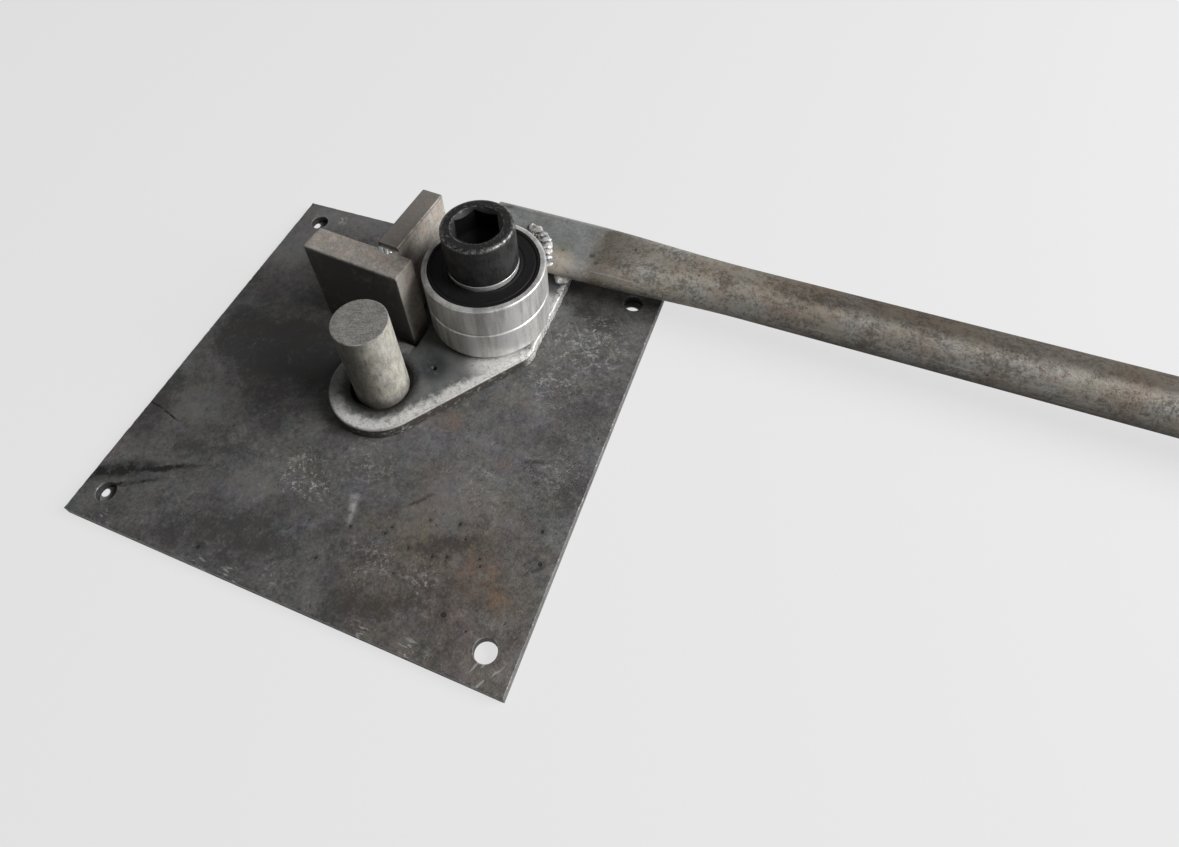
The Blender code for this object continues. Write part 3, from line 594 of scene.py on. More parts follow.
def rawTube():
    p = Paint("raw tube", tubeMarks)
    marks = p.marks
    yaw = math.degrees(handleYaw)
    drawn = p.grain(0.0010, 3, 0.6, (60, 1, 1), yaw)
    cloud = p.grain(0.026, 5, 0.62, (1.6, 1, 1))
    blotch = p.grain(0.008, 5, 0.70, (1.7, 1, 1), yaw, 1.0)
    mottle = p.grain(0.0026, 5, 0.75)
    fine = p.grain(0.0011, 4, 0.75)
    p.begin(p.ramp(cloud + 0.5 * (blotch - 0.5), 0.40, 0.62), "grey", "olive")
    p.lay(p.ramp(p.grain(0.030, 5, 0.65, shift=5.0), 0.46, 0.62) * 0.85, "brown")
    bloom = p.ramp(p.grain(0.0045, 5, 0.75, shift=3.0), 0.52, 0.66) * p.ramp(blotch, 0.42, 0.60)
    p.lay(bloom * 0.65, "rust")
    darkMottle = p.ramp(0.5 * mottle + 0.5 * fine + 0.5 * (blotch - 0.5), 0.56, 0.38)
    p.lay(darkMottle * 0.66, "dark")
    level = (handleLow.z + handleHigh.z) / 2
    radius = (handleHigh.z - handleLow.z) / 2
    sideways = (p.y - notch.y) - (p.x - notch.x) * math.tan(handleYaw)
    upward = p.z - level
    # painted shade: the tube is tinted darker where it turns away from the light, most along its far run
    y, z = marks["facing"]
    facing = (sideways * y + upward * z) / radius
    turned = p.ramp(facing + 0.24 * (blotch - 0.5) + 0.2 * (mottle - 0.5), 0.97, 0.52)
    near, far = marks["darkBack"]
    outer = p.ramp(p.x, near * mm, far * mm)
    p.tint(turned * (0.30 + 0.70 * outer), "backShadeTint")
    p.lay(outer * 0.26, "dark")
    # painted shade on the tube's underside
    shadeBeneath = p.ramp(upward / radius + 0.2 * (mottle - 0.5), 0.30, -0.30)
    p.lay(shadeBeneath * (0.14 + 0.30 * outer), "dark")
    near, far = marks["pressedEnd"]
    pressed = p.ramp(p.x + 0.012 * (p.grain(0.010, 4) - 0.5), far * mm, near * mm)
    pressedTone = p.ramp(0.5 * p.grain(0.009, 5, 0.7, (2.2, 1, 1), -12) + 0.5 * fine, 0.40, 0.64)
    p.lay(pressed, p.blend(pressedTone, marks["pressed"], marks["pressedPale"]))
    start, middle, end = marks["seam"]
    ragged = p.x + 0.012 * (blotch - 0.5)
    seam = p.ramp(ragged, start * mm, middle * mm) * p.ramp(ragged, end * mm, middle * mm)
    p.lay(seam * 0.62, "dark")
    flank = p.spot(*marks["flank"], 0.35) * p.ramp(mottle, 0.25, 0.55)
    p.lay(flank * 0.6, "beige")
    moss = p.spot(*marks["mossSpot"]) * p.ramp(mottle, 0.3, 0.6)
    p.lay(moss * 0.7, "moss")
    pits = p.specks(0.006, 0.0008, 0.4)
    for pit in marks["pits"]:
        pits = pits.most(p.spot(*pit, 0.4))
    p.lay(pits * 0.8, "dark")
    # painted highlight: a glint streak where the tube faces the light, laid on as bare steel together with
    # the worn edges and the ridge
    glint = p.ramp(drawn, 0.58, 0.70) * p.ramp(blotch, 0.38, 0.56) * p.ramp(facing, 0.62, 0.98)
    glint = glint.most(p.ramp(0.5 * fine + 0.5 * mottle, 0.57, 0.66) * p.ramp(facing, 0.66, 0.98))
    ridge = p.stroke(*marks["ridge"], 2) * p.ramp(fine, 0.3, 0.55)
    rubbed = p.rubbed(0.38, 0.58, 0.003, 4, 0.7).most(0.55 * glint * (1 - pressed)).most(0.8 * ridge)
    p.lay(rubbed * 0.75, "bare")
    roughness = 0.42 + 0.28 * fine + 0.1 * bloom - 0.1 * rubbed + 0.2 * turned * outer
    normal = p.bump(blotch, 0.00016)
    normal = p.bump(fine + mottle + 0.4 * drawn, 0.00014, normal)
    metallic = (0.26 + 0.25 * rubbed) * (1 - 0.85 * turned * outer)
    return p.finish(roughness, metallic, normal, 0.12)


weldMarks = {
    "silver": shade(0.66, 0.655, 0.64),
    "slag": shade(0.040, 0.036, 0.032),
    "straw": shade(0.36, 0.30, 0.20),
    "blue": shade(0.48, 0.54, 0.61),
}


def weldMetal():
    p = Paint("weld metal", weldMarks)
    ripple = p.mark("ripple")
    cloud = p.grain(0.005, 4, 0.6)
    fine = p.grain(0.0006, 3, 0.6)
    p.begin(p.ramp(cloud, 0.52, 0.72) * 0.5, "silver", "straw")
    p.lay(p.ramp(p.grain(0.006, 3, shift=5.0), 0.50, 0.68) * 0.7, "blue")
    dirt = p.ramp(ripple + 0.8 * (fine - 0.5), 0.46, 0.10)
    soot = p.ramp(p.grain(0.0032, 4, 0.7, shift=8.0), 0.50, 0.62)
    p.lay((dirt * 0.8).most(soot * 0.45), "slag")
    roughness = 0.36 + 0.22 * fine + 0.25 * dirt
    return p.finish(roughness, 0.5, p.bump(fine, 0.00006))


cageMarks = {"pale": shade(0.34, 0.33, 0.31), "dark": shade(0.24, 0.235, 0.22)}


def pressedSteel():
    p = Paint("pressed steel", cageMarks)
    fine = p.grain(0.0008, 3, 0.6)
    p.begin(fine, "pale", "dark")
    return p.finish(0.3 + 0.2 * fine, 1.0, p.bump(fine, 0.00002))


# Places that more than one piece uses

plateLow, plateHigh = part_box("base_plate")
postLow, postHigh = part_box("pivot_post")
armLow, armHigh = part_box("arm_plate")
noseRadius = -armLow.y
armCorner = Vector((armHigh.x, 34 * mm))  # where the straight right edge begins
armSlant = math.atan2(*armCorner.yx) - math.acos(noseRadius / armCorner.length)  # of the edge's normal
ringLow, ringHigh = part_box("upper_outer_ring")
axis = Vector(((ringLow.x + ringHigh.x) / 2, (ringLow.y + ringHigh.y) / 2, 0))
ringRadius = (ringHigh.x - ringLow.x) / 2
postRadius = (postHigh.x - postLow.x) / 2
openings = {one["name"]: one["box_m"] for one in frame["record"]["physics"]["openings"]}
handleLow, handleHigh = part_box("handle_tube")
handleYaw = math.radians(-1.3)
notch = Vector((33.544, 91.115)) * mm  # inner corner of the notch in the handle's flat end
flatOverhang = 1.5 * mm  # past the arm's right edge
flatLength = (armHigh.x + flatOverhang - notch.x) / math.cos(handleYaw)  # from the notch on

finishes = {
    "mill_scale_plate": millScale(),
    "ground_plate": groundPlate(),
    "cut_bar": sawnBar(),
    "post": postSteel(),
    "bearing_steel": bearingSteel(),
    "seal_rubber": sealRubber(),
    "black_oxide": blackOxide(),
    "bright_washer": brightZinc(),
    "raw_tube": rawTube(),
    "weld_metal": weldMetal(),
    "pressed_cage": pressedSteel(),
}
print("finishes:", len(finishes))


# Meshes

def startShape():
    shape = bmesh.new()
    for mark in ("wear", "scale", "ripple"):
        shape.verts.layers.float.new(mark)
    return shape


def addRing(shape, points):  # points are (x, y, z, wear)
    layer = shape.verts.layers.float["wear"]
    ring = []
    for x, y, z, worn in points:
        point = shape.verts.new((x, y, z))
        point[layer] = worn
        ring.append(point)
    return ring


def skinRings(shape, rings):
    for low, high in zip(rings, rings[1:]):
        for index in range(len(low)):
            after = (index + 1) % len(low)
            shape.faces.new((low[index], low[after], high[after], high[index]))


def addCircle(shape, at, radius, z, worn, segments):
    turns = [math.tau * step / segments for step in range(segments)]
    points = [(at[0] + radius * math.cos(a), at[1] + radius * math.sin(a), z, worn) for a in turns]
    return addRing(shape, points)


def loopEdges(shape, ring):
    return [shape.edges.get((a, b)) for a, b in zip(ring, ring[1:] + ring[:1])]


def meshOf(shape, name="work"):
    mesh = bpy.data.meshes.new(name)
    shape.to_mesh(mesh)
    shape.free()
    return mesh


def evaluated(mesh, dress):  # the plain mesh that comes out of the modifier that dress adds
    piece = bpy.data.objects.new("work", mesh)
    scene.collection.objects.link(piece)
    dress(piece)
    graph = bpy.context.evaluated_depsgraph_get()
    made = bpy.data.meshes.new_from_object(piece.evaluated_get(graph), depsgraph=graph)
    piece.modifiers.clear()
    bpy.data.objects.remove(piece)
    bpy.data.meshes.remove(mesh)
    return made


# closes seams, turns faces out and evens the normals round the rounded edges
def tidied(mesh, angle=40):
    shape = bmesh.new()
    shape.from_mesh(mesh)
    bmesh.ops.remove_doubles(shape, verts=shape.verts, dist=1e-7)
    bmesh.ops.recalc_face_normals(shape, faces=shape.faces)
    shape.to_mesh(mesh)
    shape.free()
    mesh.shade_smooth()
    mesh.set_sharp_from_angle(angle=math.radians(angle))

    def dress(piece):
        piece.modifiers.new("normals", "WEIGHTED_NORMAL").keep_sharp = True

    return evaluated(mesh, dress)


def closeShape(shape, angle=40):
    return tidied(meshOf(shape), angle)


def settle(name, mesh, finish, body, nodes=()):
    mesh.name = name
    mesh.materials.clear()
    mesh.materials.append(finishes[finish])
    piece = bpy.data.objects.new(name, mesh)
    scene.collection.objects.link(piece)
    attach(piece, body)
    if nodes:
        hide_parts(*nodes)
    return piece


# corners are (x, y, cut): each cut corner becomes a small curve whose middle is marked as worn
def eased(corners, steps=4):
    points = []
    count = len(corners)
    for index, (x, y, cut) in enumerate(corners):
        if cut == 0:
            points.append((x, y, 0.0))
            continue
        here = Vector((x, y))
        before = Vector(corners[index - 1][:2]) - here
        after = Vector(corners[(index + 1) % count][:2]) - here
        start = here + before.normalized() * cut
        end = here + after.normalized() * cut
        for step in range(steps + 1):
            t = step / steps
            spot = start * (1 - t) ** 2 + here * 2 * t * (1 - t) + end * t * t
            points.append((spot.x, spot.y, 4 * t * (1 - t)))
    return points


# Geometry Nodes

class Grower(Board):  # a Geometry Nodes tree under way
    def __init__(self, name, **inputs):
        super().__init__(bpy.data.node_groups.new(name, "GeometryNodeTree"))
        sockets = self.tree.interface
        for label, kind in inputs.items():
            sockets.new_socket(label, in_out="INPUT", socket_type="NodeSocket" + kind)
        sockets.new_socket("Geometry", in_out="OUTPUT", socket_type="NodeSocketGeometry")
        self.given = self.add("NodeGroupInput")

    def position(self):
        return self.add("GeometryNodeInputPosition")["Position"]

    def sheet(self, rows, columns):  # a flat grid from -0.5 to 0.5, to be rolled up
        given = {"Size X": 1.0, "Size Y": 1.0, "Vertices X": rows + 1, "Vertices Y": columns + 1}
        return self.add("GeometryNodeMeshGrid", {}, given)["Mesh"]

    def sampled(self, kind, geometry, value, index):
        given = {"Geometry": geometry, "Value": value, "Index": index}
        return self.add("GeometryNodeSampleIndex", {"data_type": kind, "domain": "POINT"}, given)["Value"]

    def marked(self, geometry, name, value):
        kind = {"data_type": "FLOAT", "domain": "POINT"}
        given = {"Geometry": geometry, "Name": name, "Value": value}
        return self.add("GeometryNodeStoreNamedAttribute", kind, given)["Geometry"]

    def placed(self, geometry, spot):  # moves each point to its spot and closes the seams
        moved = self.add("GeometryNodeSetPosition", {}, {"Geometry": geometry, "Position": spot})["Geometry"]
        return self.add("GeometryNodeMergeByDistance", {}, {"Geometry": moved, "Distance": 1e-6})["Geometry"]

    def end(self, geometry):
        real = self.add("GeometryNodeRealizeInstances", {}, {"Geometry": geometry})["Geometry"]
        coated = {"Geometry": real, "Material": self.given["Material"]}
        self.add("NodeGroupOutput", {}, {0: self.add("GeometryNodeSetMaterial", {}, coated)["Geometry"]})
        return self.tree


def grow(tree, mesh, values):
    labels = {item.name: item.identifier for item in tree.interface.items_tree if item.in_out == "INPUT"}

    def dress(piece):
        modifier = piece.modifiers.new(tree.name, "NODES")
        modifier.node_group = tree
        for label, value in values.items():
            modifier[labels[label]] = value

    return evaluated(mesh, dress)


def edgeMesh(points, closed):  # a chain of edges, with each point's wear
    shape = startShape()
    chain = addRing(shape, points)
    for a, b in zip(chain, chain[1:] + (chain[:1] if closed else [])):
        shape.edges.new((a, b))
    return meshOf(shape)


# a closed outline (X is radius, Z is height) swept round the Z axis
def turnedTree():
    board = Grower("turned piece", Outline="Geometry", Segments="Int", Material="Material")
    outline = board.given["Outline"]
    count = board.add("GeometryNodeAttributeDomainSize", {"component": "MESH"}, {0: outline})["Point Count"]
    sheet = board.sheet(count, board.given["Segments"])
    across, around = board.parts(board.position())[:2]
    row = ((across + 0.5) * count).alone("ROUND") % count
    angle = (around + 0.5) * math.tau
    spot = board.sampled("FLOAT_VECTOR", outline, board.position(), row)
    named = board.add("GeometryNodeInputNamedAttribute", {"data_type": "FLOAT"}, {"Name": "wear"})
    worn = board.sampled("FLOAT", outline, named["Attribute"], row)
    radius, height = board.parts(spot)[::2]
    swept = board.vector(radius * angle.alone("COSINE"), radius * angle.alone("SINE"), height)
    return board.end(board.placed(board.marked(sheet, "wear", worn), swept))


beads = {
    "faceShare": 0.7,  # of the section's points, the rest lie against the floor and the wall
    "driftsInMetre": 210.0,  # the ripples bunch up and open out
    "drift": 1.6,
    "bow": 0.45,  # how far each ripple runs ahead in its middle, in pitches
    "endLength": 0.8,  # of the rounded ends, as a share of Out
    "endCut": 2e-6,  # brings the size just to 0 at both ends
    "lumpsInMetre": 290.0,
    "rowsInRipple": 7,
    "fewestRows": 24,
    "sides": 26,
}


# a weld in the corner of a floor and a wall, to the left of its path; a Spread of 1 lays it on both sides
def beadTree():
    sizes = {name: "Float" for name in ("Out", "Up", "Spread", "Pitch", "Ripple", "Lumps", "Seed")}
    board = Grower("weld bead", Path="Geometry", **sizes, Rows="Int", Sides="Int", Material="Material")
    given = board.given
    path = board.add("GeometryNodeMeshToCurve", {}, {0: given["Path"]})["Curve"]
    length = board.add("GeometryNodeCurveLength", {}, {0: path})["Length"]
    sheet = board.sheet(given["Rows"], given["Sides"])
    along, around = board.parts(board.position())[:2]
    along = along + 0.5
    around = around + 0.5
    sample = board.add("GeometryNodeSampleCurve", {"mode": "FACTOR"}, {"Curves": path, "Factor": along})
    left = board.vectors("CROSS_PRODUCT", (0, 0, 1), sample["Tangent"])
    face, spread = beads["faceShare"], given["Spread"]
    turn = ((around / face).least(1.0) * (1 + spread) - spread) * (math.pi / 2)
    back = ((around - face) / (1 - face)).most(0.0)
    outward = turn.alone("SINE").least(1 - 2 * back).most(0 - spread)
    upward = turn.alone("COSINE").most((2 * back - 1) * (1 - spread))
    run = along * length
    bow = (2 * turn).alone("SINE") * (1 - spread) + turn.alone("COSINE") * spread
    line = {"W": run * beads["driftsInMetre"] + given["Seed"], "Scale": 1.0}
    drift = board.add("ShaderNodeTexNoise", {"noise_dimensions": "1D"}, line)["Fac"]
    crest = (run / given["Pitch"] + beads["bow"] * bow + beads["drift"] * drift) % 1.0
    swell = 1 - given["Ripple"] * crest * crest
    toEnd = (run.least(length - run) - beads["endCut"]) / (beads["endLength"] * given["Out"])
    toEnd = toEnd.least(1.0).most(0.0)
    taper = (1 - (1 - toEnd) * (1 - toEnd)).most(0.0) ** 0.5
    size = swell * taper
    aside = board.stretch(left, outward * given["Out"] * size)
    raised = board.vector(0.0, 0.0, upward * given["Up"] * size)
    spot = board.vectors("ADD", board.vectors("ADD", sample["Position"], aside), raised)
    closed = board.placed(board.marked(sheet, "ripple", 1 - crest), spot)
    here = board.vectors("ADD", board.position(), board.vector(0, 0, given["Seed"]))
    clouds = {"Vector": here, "Scale": beads["lumpsInMetre"], "Detail": 2.0}
    lump = board.add("ShaderNodeTexNoise", {}, clouds)["Fac"] - 0.5
    push = board.stretch(board.add("GeometryNodeInputNormal")["Normal"], lump * given["Lumps"])
    lumpy = board.add("GeometryNodeSetPosition", {}, {"Geometry": closed, "Offset": push})["Geometry"]
    return board.end(lumpy)


# small balls of metal thrown on the faces round a weld, a little flattened
def spatterTree(flattened=0.6):
    sizes = {name: "Float" for name in ("Density", "Smallest", "Largest")}
    board = Grower("weld spatter", Faces="Geometry", **sizes, Seed="Int", Material="Material")
    given = board.given
    scattered = board.add(
        "GeometryNodeDistributePointsOnFaces",
        {"distribute_method": "RANDOM"},
        {"Mesh": given["Faces"], "Density": given["Density"], "Seed": given["Seed"]},
    )["Points"]
    ball = board.add("GeometryNodeMeshIcoSphere", {}, {"Radius": 1.0, "Subdivisions": 2})["Mesh"]
    ends = {2: given["Smallest"], 3: given["Largest"], "Seed": given["Seed"]}
    size = board.add("FunctionNodeRandomValue", {"data_type": "FLOAT"}, ends)[1]
    drops = {"Points": scattered, "Instance": ball, "Scale": board.vector(size, size, flattened * size)}
    return board.end(board.add("GeometryNodeInstanceOnPoints", {}, drops)["Instances"])


trees = {"turned": turnedTree(), "bead": beadTree(), "spatter": spatterTree()}
print("node trees:", ", ".join(tree.name for tree in trees.values()))


def turnedMesh(corners, at=(0, 0), segments=128, finish="bearing_steel"):
    outline = edgeMesh([(x, 0.0, z, worn) for x, z, worn in eased(corners)], True)
    mesh = grow(trees["turned"], outline, {"Segments": segments, "Material": finishes[finish]})
    mesh.transform(Matrix.Translation((at[0], at[1], 0)))
    return tidied(mesh)


def beadMesh(path, out, up, pitch=2.3 * mm, ripple=0.16, lumps=0.5 * mm, seed=0.0, spread=0.0):
    run = sum((Vector(b) - Vector(a)).length for a, b in zip(path, path[1:]))
    rows = max(beads["fewestRows"], round(run / pitch * beads["rowsInRipple"]))
    values = {
        "Out": out,
        "Up": up,
        "Spread": spread,
        "Pitch": pitch,
        "Ripple": ripple,
        "Lumps": lumps,
        "Seed": seed,
        "Rows": rows,
        "Sides": beads["sides"],
        "Material": finishes["weld_metal"],
    }
    chain = edgeMesh([(*point, 0.0) for point in path], False)
    return tidied(grow(trees["bead"], chain, values), 70)


def joined(meshes):
    shape = bmesh.new()
    for mesh in meshes:
        shape.from_mesh(mesh)
        bpy.data.meshes.remove(mesh)
    mesh = meshOf(shape)
    mesh.shade_smooth()
    return mesh


# Plates

# skirt rings run from the top down as (inset, z, wear); a hole is a place and rings of (radius, z, wear)
def plateMesh(outline, skirt, holes, segments=64):
    shape = startShape()
    grimeAndShade = shape.verts.layers.float["scale"]
    count = len(outline)
    inward = []
    for index in range(count):
        before = Vector(outline[index]) - Vector(outline[index - 1])
        after = Vector(outline[(index + 1) % count]) - Vector(outline[index])
        way = (before.normalized() + after.normalized()).normalized()
        inward.append(Vector((-way.y, way.x)))
    rings = []
    for inset, z, worn in skirt:
        points = [Vector(point) + side * inset for point, side in zip(outline, inward)]
        rings.append(addRing(shape, [(point.x, point.y, z, worn) for point in points]))
    skinRings(shape, rings)
    topEdges = loopEdges(shape, rings[0])
    bottomEdges = loopEdges(shape, rings[-1])
    for hole in holes:
        bores = []
        for radius, z, worn in hole["rings"]:
            bores.append(addCircle(shape, hole["at"], radius, z, worn, segments))
            # a hole's walls below the top carry its painted shade in the scale mark
            for point in bores[-1]:
                point[grimeAndShade] = hole.get("grimeAndShade", 0.0) if z < skirt[0][1] else 0.0
        skinRings(shape, bores)
        topEdges += loopEdges(shape, bores[0])
        if hole.get("blind"):
            shape.faces.new(bores[-1])
        else:
            bottomEdges += loopEdges(shape, bores[-1])
    bmesh.ops.triangle_fill(shape, use_beauty=True, edges=topEdges)
    bmesh.ops.triangle_fill(shape, use_beauty=True, edges=bottomEdges)
    return closeShape(shape, 50)


# extra points along the straight sides of an outline, pulled in unevenly where rough is over 0
def roughened(corners, pitch, rough):
    points = []
    for index, (x, y) in enumerate(corners):
        here = Vector((x, y))
        after = Vector(corners[(index + 1) % len(corners)])
        way = after - here
        steps = max(1, round(way.length / pitch))
        depth = rough(here, after) if callable(rough) else rough
        aside = Vector((-way.y, way.x)).normalized()
        for step in range(steps):
            spot = here + way * step / steps
            dent = 0.0
            if step:
                where = Vector((spot.x, spot.y, 0)) / mm
                dent = max(0.0, 0.5 + noise.noise(where * 0.35) * 0.6 + noise.noise(where * 1.3) * 0.5)
            points.append(tuple(spot + aside * depth * dent))
    return points


basePlate = {
    "edge": 0.45 * mm,
    "cornerCut": 0.3 * mm,
    "roughness": 0.22 * mm,
    "pitch": 1.4 * mm,
    "holeRadius": 4.25 * mm,
    "burrHeight": 0.13 * mm,
    "burrWidth": 0.9 * mm,
    "postGap": 0.1 * mm,
    "countersink": 2.0 * mm,
}


def makeBasePlate():
    sizes = basePlate
    cut = sizes["cornerCut"]
    low, high = plateLow, plateHigh
    corners = [(low.x, low.y, cut), (high.x, low.y, cut), (high.x, high.y, cut), (low.x, high.y, cut)]
    outline = roughened([point[:2] for point in eased(corners)], sizes["pitch"], sizes["roughness"])
    edge, top, bottom = sizes["edge"], high.z, low.z
    skirt = [
        (edge, top, 0.0),
        (0.3 * edge, top - 0.12 * edge, 1.0),
        (0.0, top - 0.5 * edge, 0.8),
        (0.0, top - 1.2 * edge, 0.0),
        (0.0, bottom + edge, 0.0),
        (edge, bottom, 0.3),
    ]
    radius, burr, wide = sizes["holeRadius"], sizes["burrHeight"], sizes["burrWidth"]
    holes = []
    for name, (first, last) in openings.items():
        if not name.startswith("bolt_hole"):
            continue
        rings = [
            (radius + wide, top, 0.0),
            (radius + 0.45 * wide, top + 0.7 * burr, 0.9),
            (radius + 0.12 * wide, top + burr, 1.0),
            (radius, top + 0.3 * burr, 1.0),
            (radius, top - 0.6 * wide, 0.2),
            (radius, bottom + 0.3 * wide, 0.0),
            (radius + 0.2 * wide, bottom, 0.3),
        ]
        middle = ((first[0] + last[0]) / 2, (first[1] + last[1]) / 2)
        # painted shade on the bolt holes' walls
        holes.append({"at": middle, "rings": rings, "grimeAndShade": 0.9})
    seat = postRadius + sizes["postGap"]
    deep = sizes["countersink"]
    rings = [(seat, top, 0.0), (seat, bottom + deep, 0.0), (seat + deep, bottom, 0.0)]
    holes.append({"at": (0, 0), "rings": rings})
    settle("basePlate", plateMesh(outline, skirt, holes), "mill_scale_plate", "base", ["base_plate"])


armPlate = {
    "leftEdge": 4.51 * mm,
    "backCut": 1.2 * mm,
    "edge": 0.5 * mm,
    "flameCut": 0.85 * mm,  # depth of the torch marks on the right edge
    "plainCut": 0.1 * mm,  # and of the marks on the others
    "flameReach": 2 * mm,
    "pitch": 0.8 * mm,
    "boreGap": 0.2 * mm,
    "boreChamfer": 1.6 * mm,
    "boreRim": 0.3 * mm,
    "rimDrop": 0.08 * mm,
    "boltRadius": 10.0 * mm,
    "boltChamfer": 0.4 * mm,
    "punchMark": (17.0 * mm, 14.6 * mm),
    "punchRadius": 1.25 * mm,
    "punchRim": 0.2 * mm,
    "punchTip": 0.2 * mm,
    "punchDepth": 1.4,  # in radii
    "noseSteps": 110,
}


def makeArmPlate():
    sizes = armPlate
    left, right, back = sizes["leftEdge"], armHigh.x, armHigh.y
    start = math.acos(left / noseRadius) - math.tau
    steps = sizes["noseSteps"]
    turns = [start + (armSlant - start) * step / steps for step in range(steps + 1)]
    arc = [(noseRadius * math.cos(a), noseRadius * math.sin(a), 0) for a in turns]
    cut = sizes["backCut"]
    corners = arc + [(*armCorner, 3 * cut), (right, back, cut), (left, back, cut)]

    def torch(here, after):
        torched = min(here.x, after.x) > right - sizes["flameReach"]
        return sizes["flameCut"] if torched else sizes["plainCut"]

    outline = roughened([point[:2] for point in eased(corners)], sizes["pitch"], torch)
    edge, top, bottom = sizes["edge"], armHigh.z, armLow.z
    skirt = [
        (1.6 * edge, top, 0.0),
        (edge, top, 0.75),
        (0.35 * edge, top - 0.15 * edge, 1.0),
        (0.0, top - 0.6 * edge, 0.85),
        (0.0, top - 1.6 * edge, 0.1),
        (0.0, bottom + edge, 0.0),
        (0.6 * edge, bottom, 0.2),
    ]
    bore = postRadius + sizes["boreGap"]
    wide = bore + sizes["boreChamfer"]
    bolt, cut = sizes["boltRadius"], sizes["boltChamfer"]
    mark, drop = sizes["punchRadius"], sizes["rimDrop"]
    holes = [
        {
            "at": (0, 0),
            "rings": [
                (wide + sizes["boreRim"], top, 0.0),
                (wide, top - drop, 1.0),
                (bore, top - sizes["boreChamfer"], 0.1),
                (bore, bottom, 0.0),
            ],
        },
        {"at": axis.to_2d(), "rings": [(bolt + cut, top, 0.0), (bolt, top - cut, 0.5), (bolt, bottom, 0.0)]},
        {
            "at": sizes["punchMark"],
            "rings": [
                (mark + sizes["punchRim"], top, 0.0),
                (mark, top - drop, 0.0),
                (sizes["punchTip"], top - sizes["punchDepth"] * mark, 0.0),
            ],
            "blind": True,
            # painted shade: the punch mark's hollow is darkened
            "grimeAndShade": 1.0,
        },
    ]
    settle("armPlate", plateMesh(outline, skirt, holes), "ground_plate", "arm", ["arm_plate"])


makeBasePlate()
makeArmPlate()
print("plates done")


# Bars

bars = {
    "rough": 0.05 * mm,
    "step": 2 * mm,
    "shoulder": 1.5 * mm,  # from the top down to where the faces' scale begins
    "lip": 0.05 * mm,  # half the run of the step up from a notch
}


# a bar along X with rounded long edges; scaled is the mill scale left on it, or a rule for each point, which
# on the buttress paints shade on its top
def barMesh(size, edge, endEdge, place, scaled, notch=None):
    length, width, height = size
    shape = startShape()
    layer = shape.verts.layers.float["scale"]
    count = max(2, round(length / bars["step"]))
    stations = [endEdge + (length - 2 * endEdge) * index / count for index in range(count)]
    stations = [0.0] + stations + [length - endEdge, length]
    if notch:
        stations = sorted(stations + [notch[0] - bars["lip"], notch[0] + bars["lip"]])
    rings = []
    for station in stations:
        inset = endEdge * 0.7 if station in (0.0, length) else 0.0
        half = width / 2 - inset
        low, high = inset, height - inset
        if notch and station < notch[0]:
            high -= notch[1]
        shoulder = high - bars["shoulder"]
        corners = [
            (-half, low, edge),
            (half, low, edge),
            (half, shoulder, 0),
            (half, high, edge),
            (-half, high, edge),
            (-half, shoulder, 0),
        ]
        points = []
        for y, z, worn in eased(corners, 3):
            spot = Vector((station, y, z))
            ripple = noise.noise(spot / mm * 0.4) * 0.6 + noise.noise(spot / mm * 1.7) * 0.4
            inward = Vector((0, -y, height / 2 - z)).normalized()
            spot += inward * bars["rough"] * (0.5 + 0.5 * ripple) * (0.4 + worn)
            points.append((*spot, max(worn, 0.8 if inset else 0.0)))
        ring = addRing(shape, points)
        for point in ring:
            point[layer] = scaled(point.co) if callable(scaled) else scaled
        rings.append(ring)
    skinRings(shape, rings)
    shape.faces.new(rings[0])
    shape.faces.new(rings[-1])
    shape.transform(place)
    return closeShape(shape, 50)


fence = {
    "turn": math.radians(-5),
    "length": 47 * mm,
    "thickness": 12 * mm,
    "edge": 0.7 * mm,
    "endEdge": 0.35 * mm,
    "buttressLength": 38 * mm,
    "buttressThickness": 10 * mm,
    "buttressSetback": 8.8 * mm,
    "gap": 0.1 * mm,
    "notch": (2.7 * mm, 2.0 * mm),
    "footLeg": 4 * mm,
    "weldDeep": 0.25 * mm,  # how far the beads are fused into what they join
    "crest": (0.7 * mm, 1.0 * mm),  # how far the top bead stands out of its notch
    "crestShort": 0.5 * mm,  # how far it stays in from the buttress's sides
    "endScale": 0.04,  # mill scale left on the sawn ends and tops
    "topScale": 0.2,
    # painted shade: the buttress's top keeps this much dark scale while its sides stay pale, for the light
    # on its right side
    "buttressTopScale": 0.74,
    "topDepth": 1.2 * mm,
    "endDepth": 0.1 * mm,
}
fenceLow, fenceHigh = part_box("fence_bar")
fenceFoot = Matrix.Translation(
    (fenceHigh.x + fence["thickness"] * math.sin(fence["turn"]), fenceLow.y, plateHigh.z)
) @ Matrix.Rotation(fence["turn"], 4, "Z")


def makeFence():
    sizes = fence
    height = fenceHigh.z - plateHigh.z
    length, thick, wide = sizes["length"], sizes["thickness"], sizes["buttressThickness"]
    edges = sizes["edge"], sizes["endEdge"]
    place = fenceFoot @ Matrix.Translation((-length, thick / 2, 0))

    def darkSides(spot):  # mill scale is left on the broad faces
        if spot.x < sizes["endDepth"] or spot.x > length - sizes["endDepth"]:
            return sizes["endScale"]
        return 1.0 if spot.z < height - sizes["topDepth"] else sizes["topScale"]

    # painted light and shade: the buttress's top is darkened and its sides left pale
    def shadedTop(spot):
        return sizes["buttressTopScale"] if spot.z > height - sizes["topDepth"] else 0.0

    bar = barMesh((length, thick, height), *edges, place, darkSides)
    settle("fenceBar", bar, "cut_bar", "base", ["fence_bar"])
    middle = -sizes["buttressSetback"] - wide / 2
    back = Matrix.Translation((middle, thick + sizes["gap"], 0)) @ Matrix.Rotation(math.pi / 2, 4, "Z")
    brace = barMesh(
        (sizes["buttressLength"], wide, height), *edges, fenceFoot @ back, shadedTop, sizes["notch"]
    )
    settle("fenceButtress", brace, "cut_bar", "base", ["fence_buttress"])


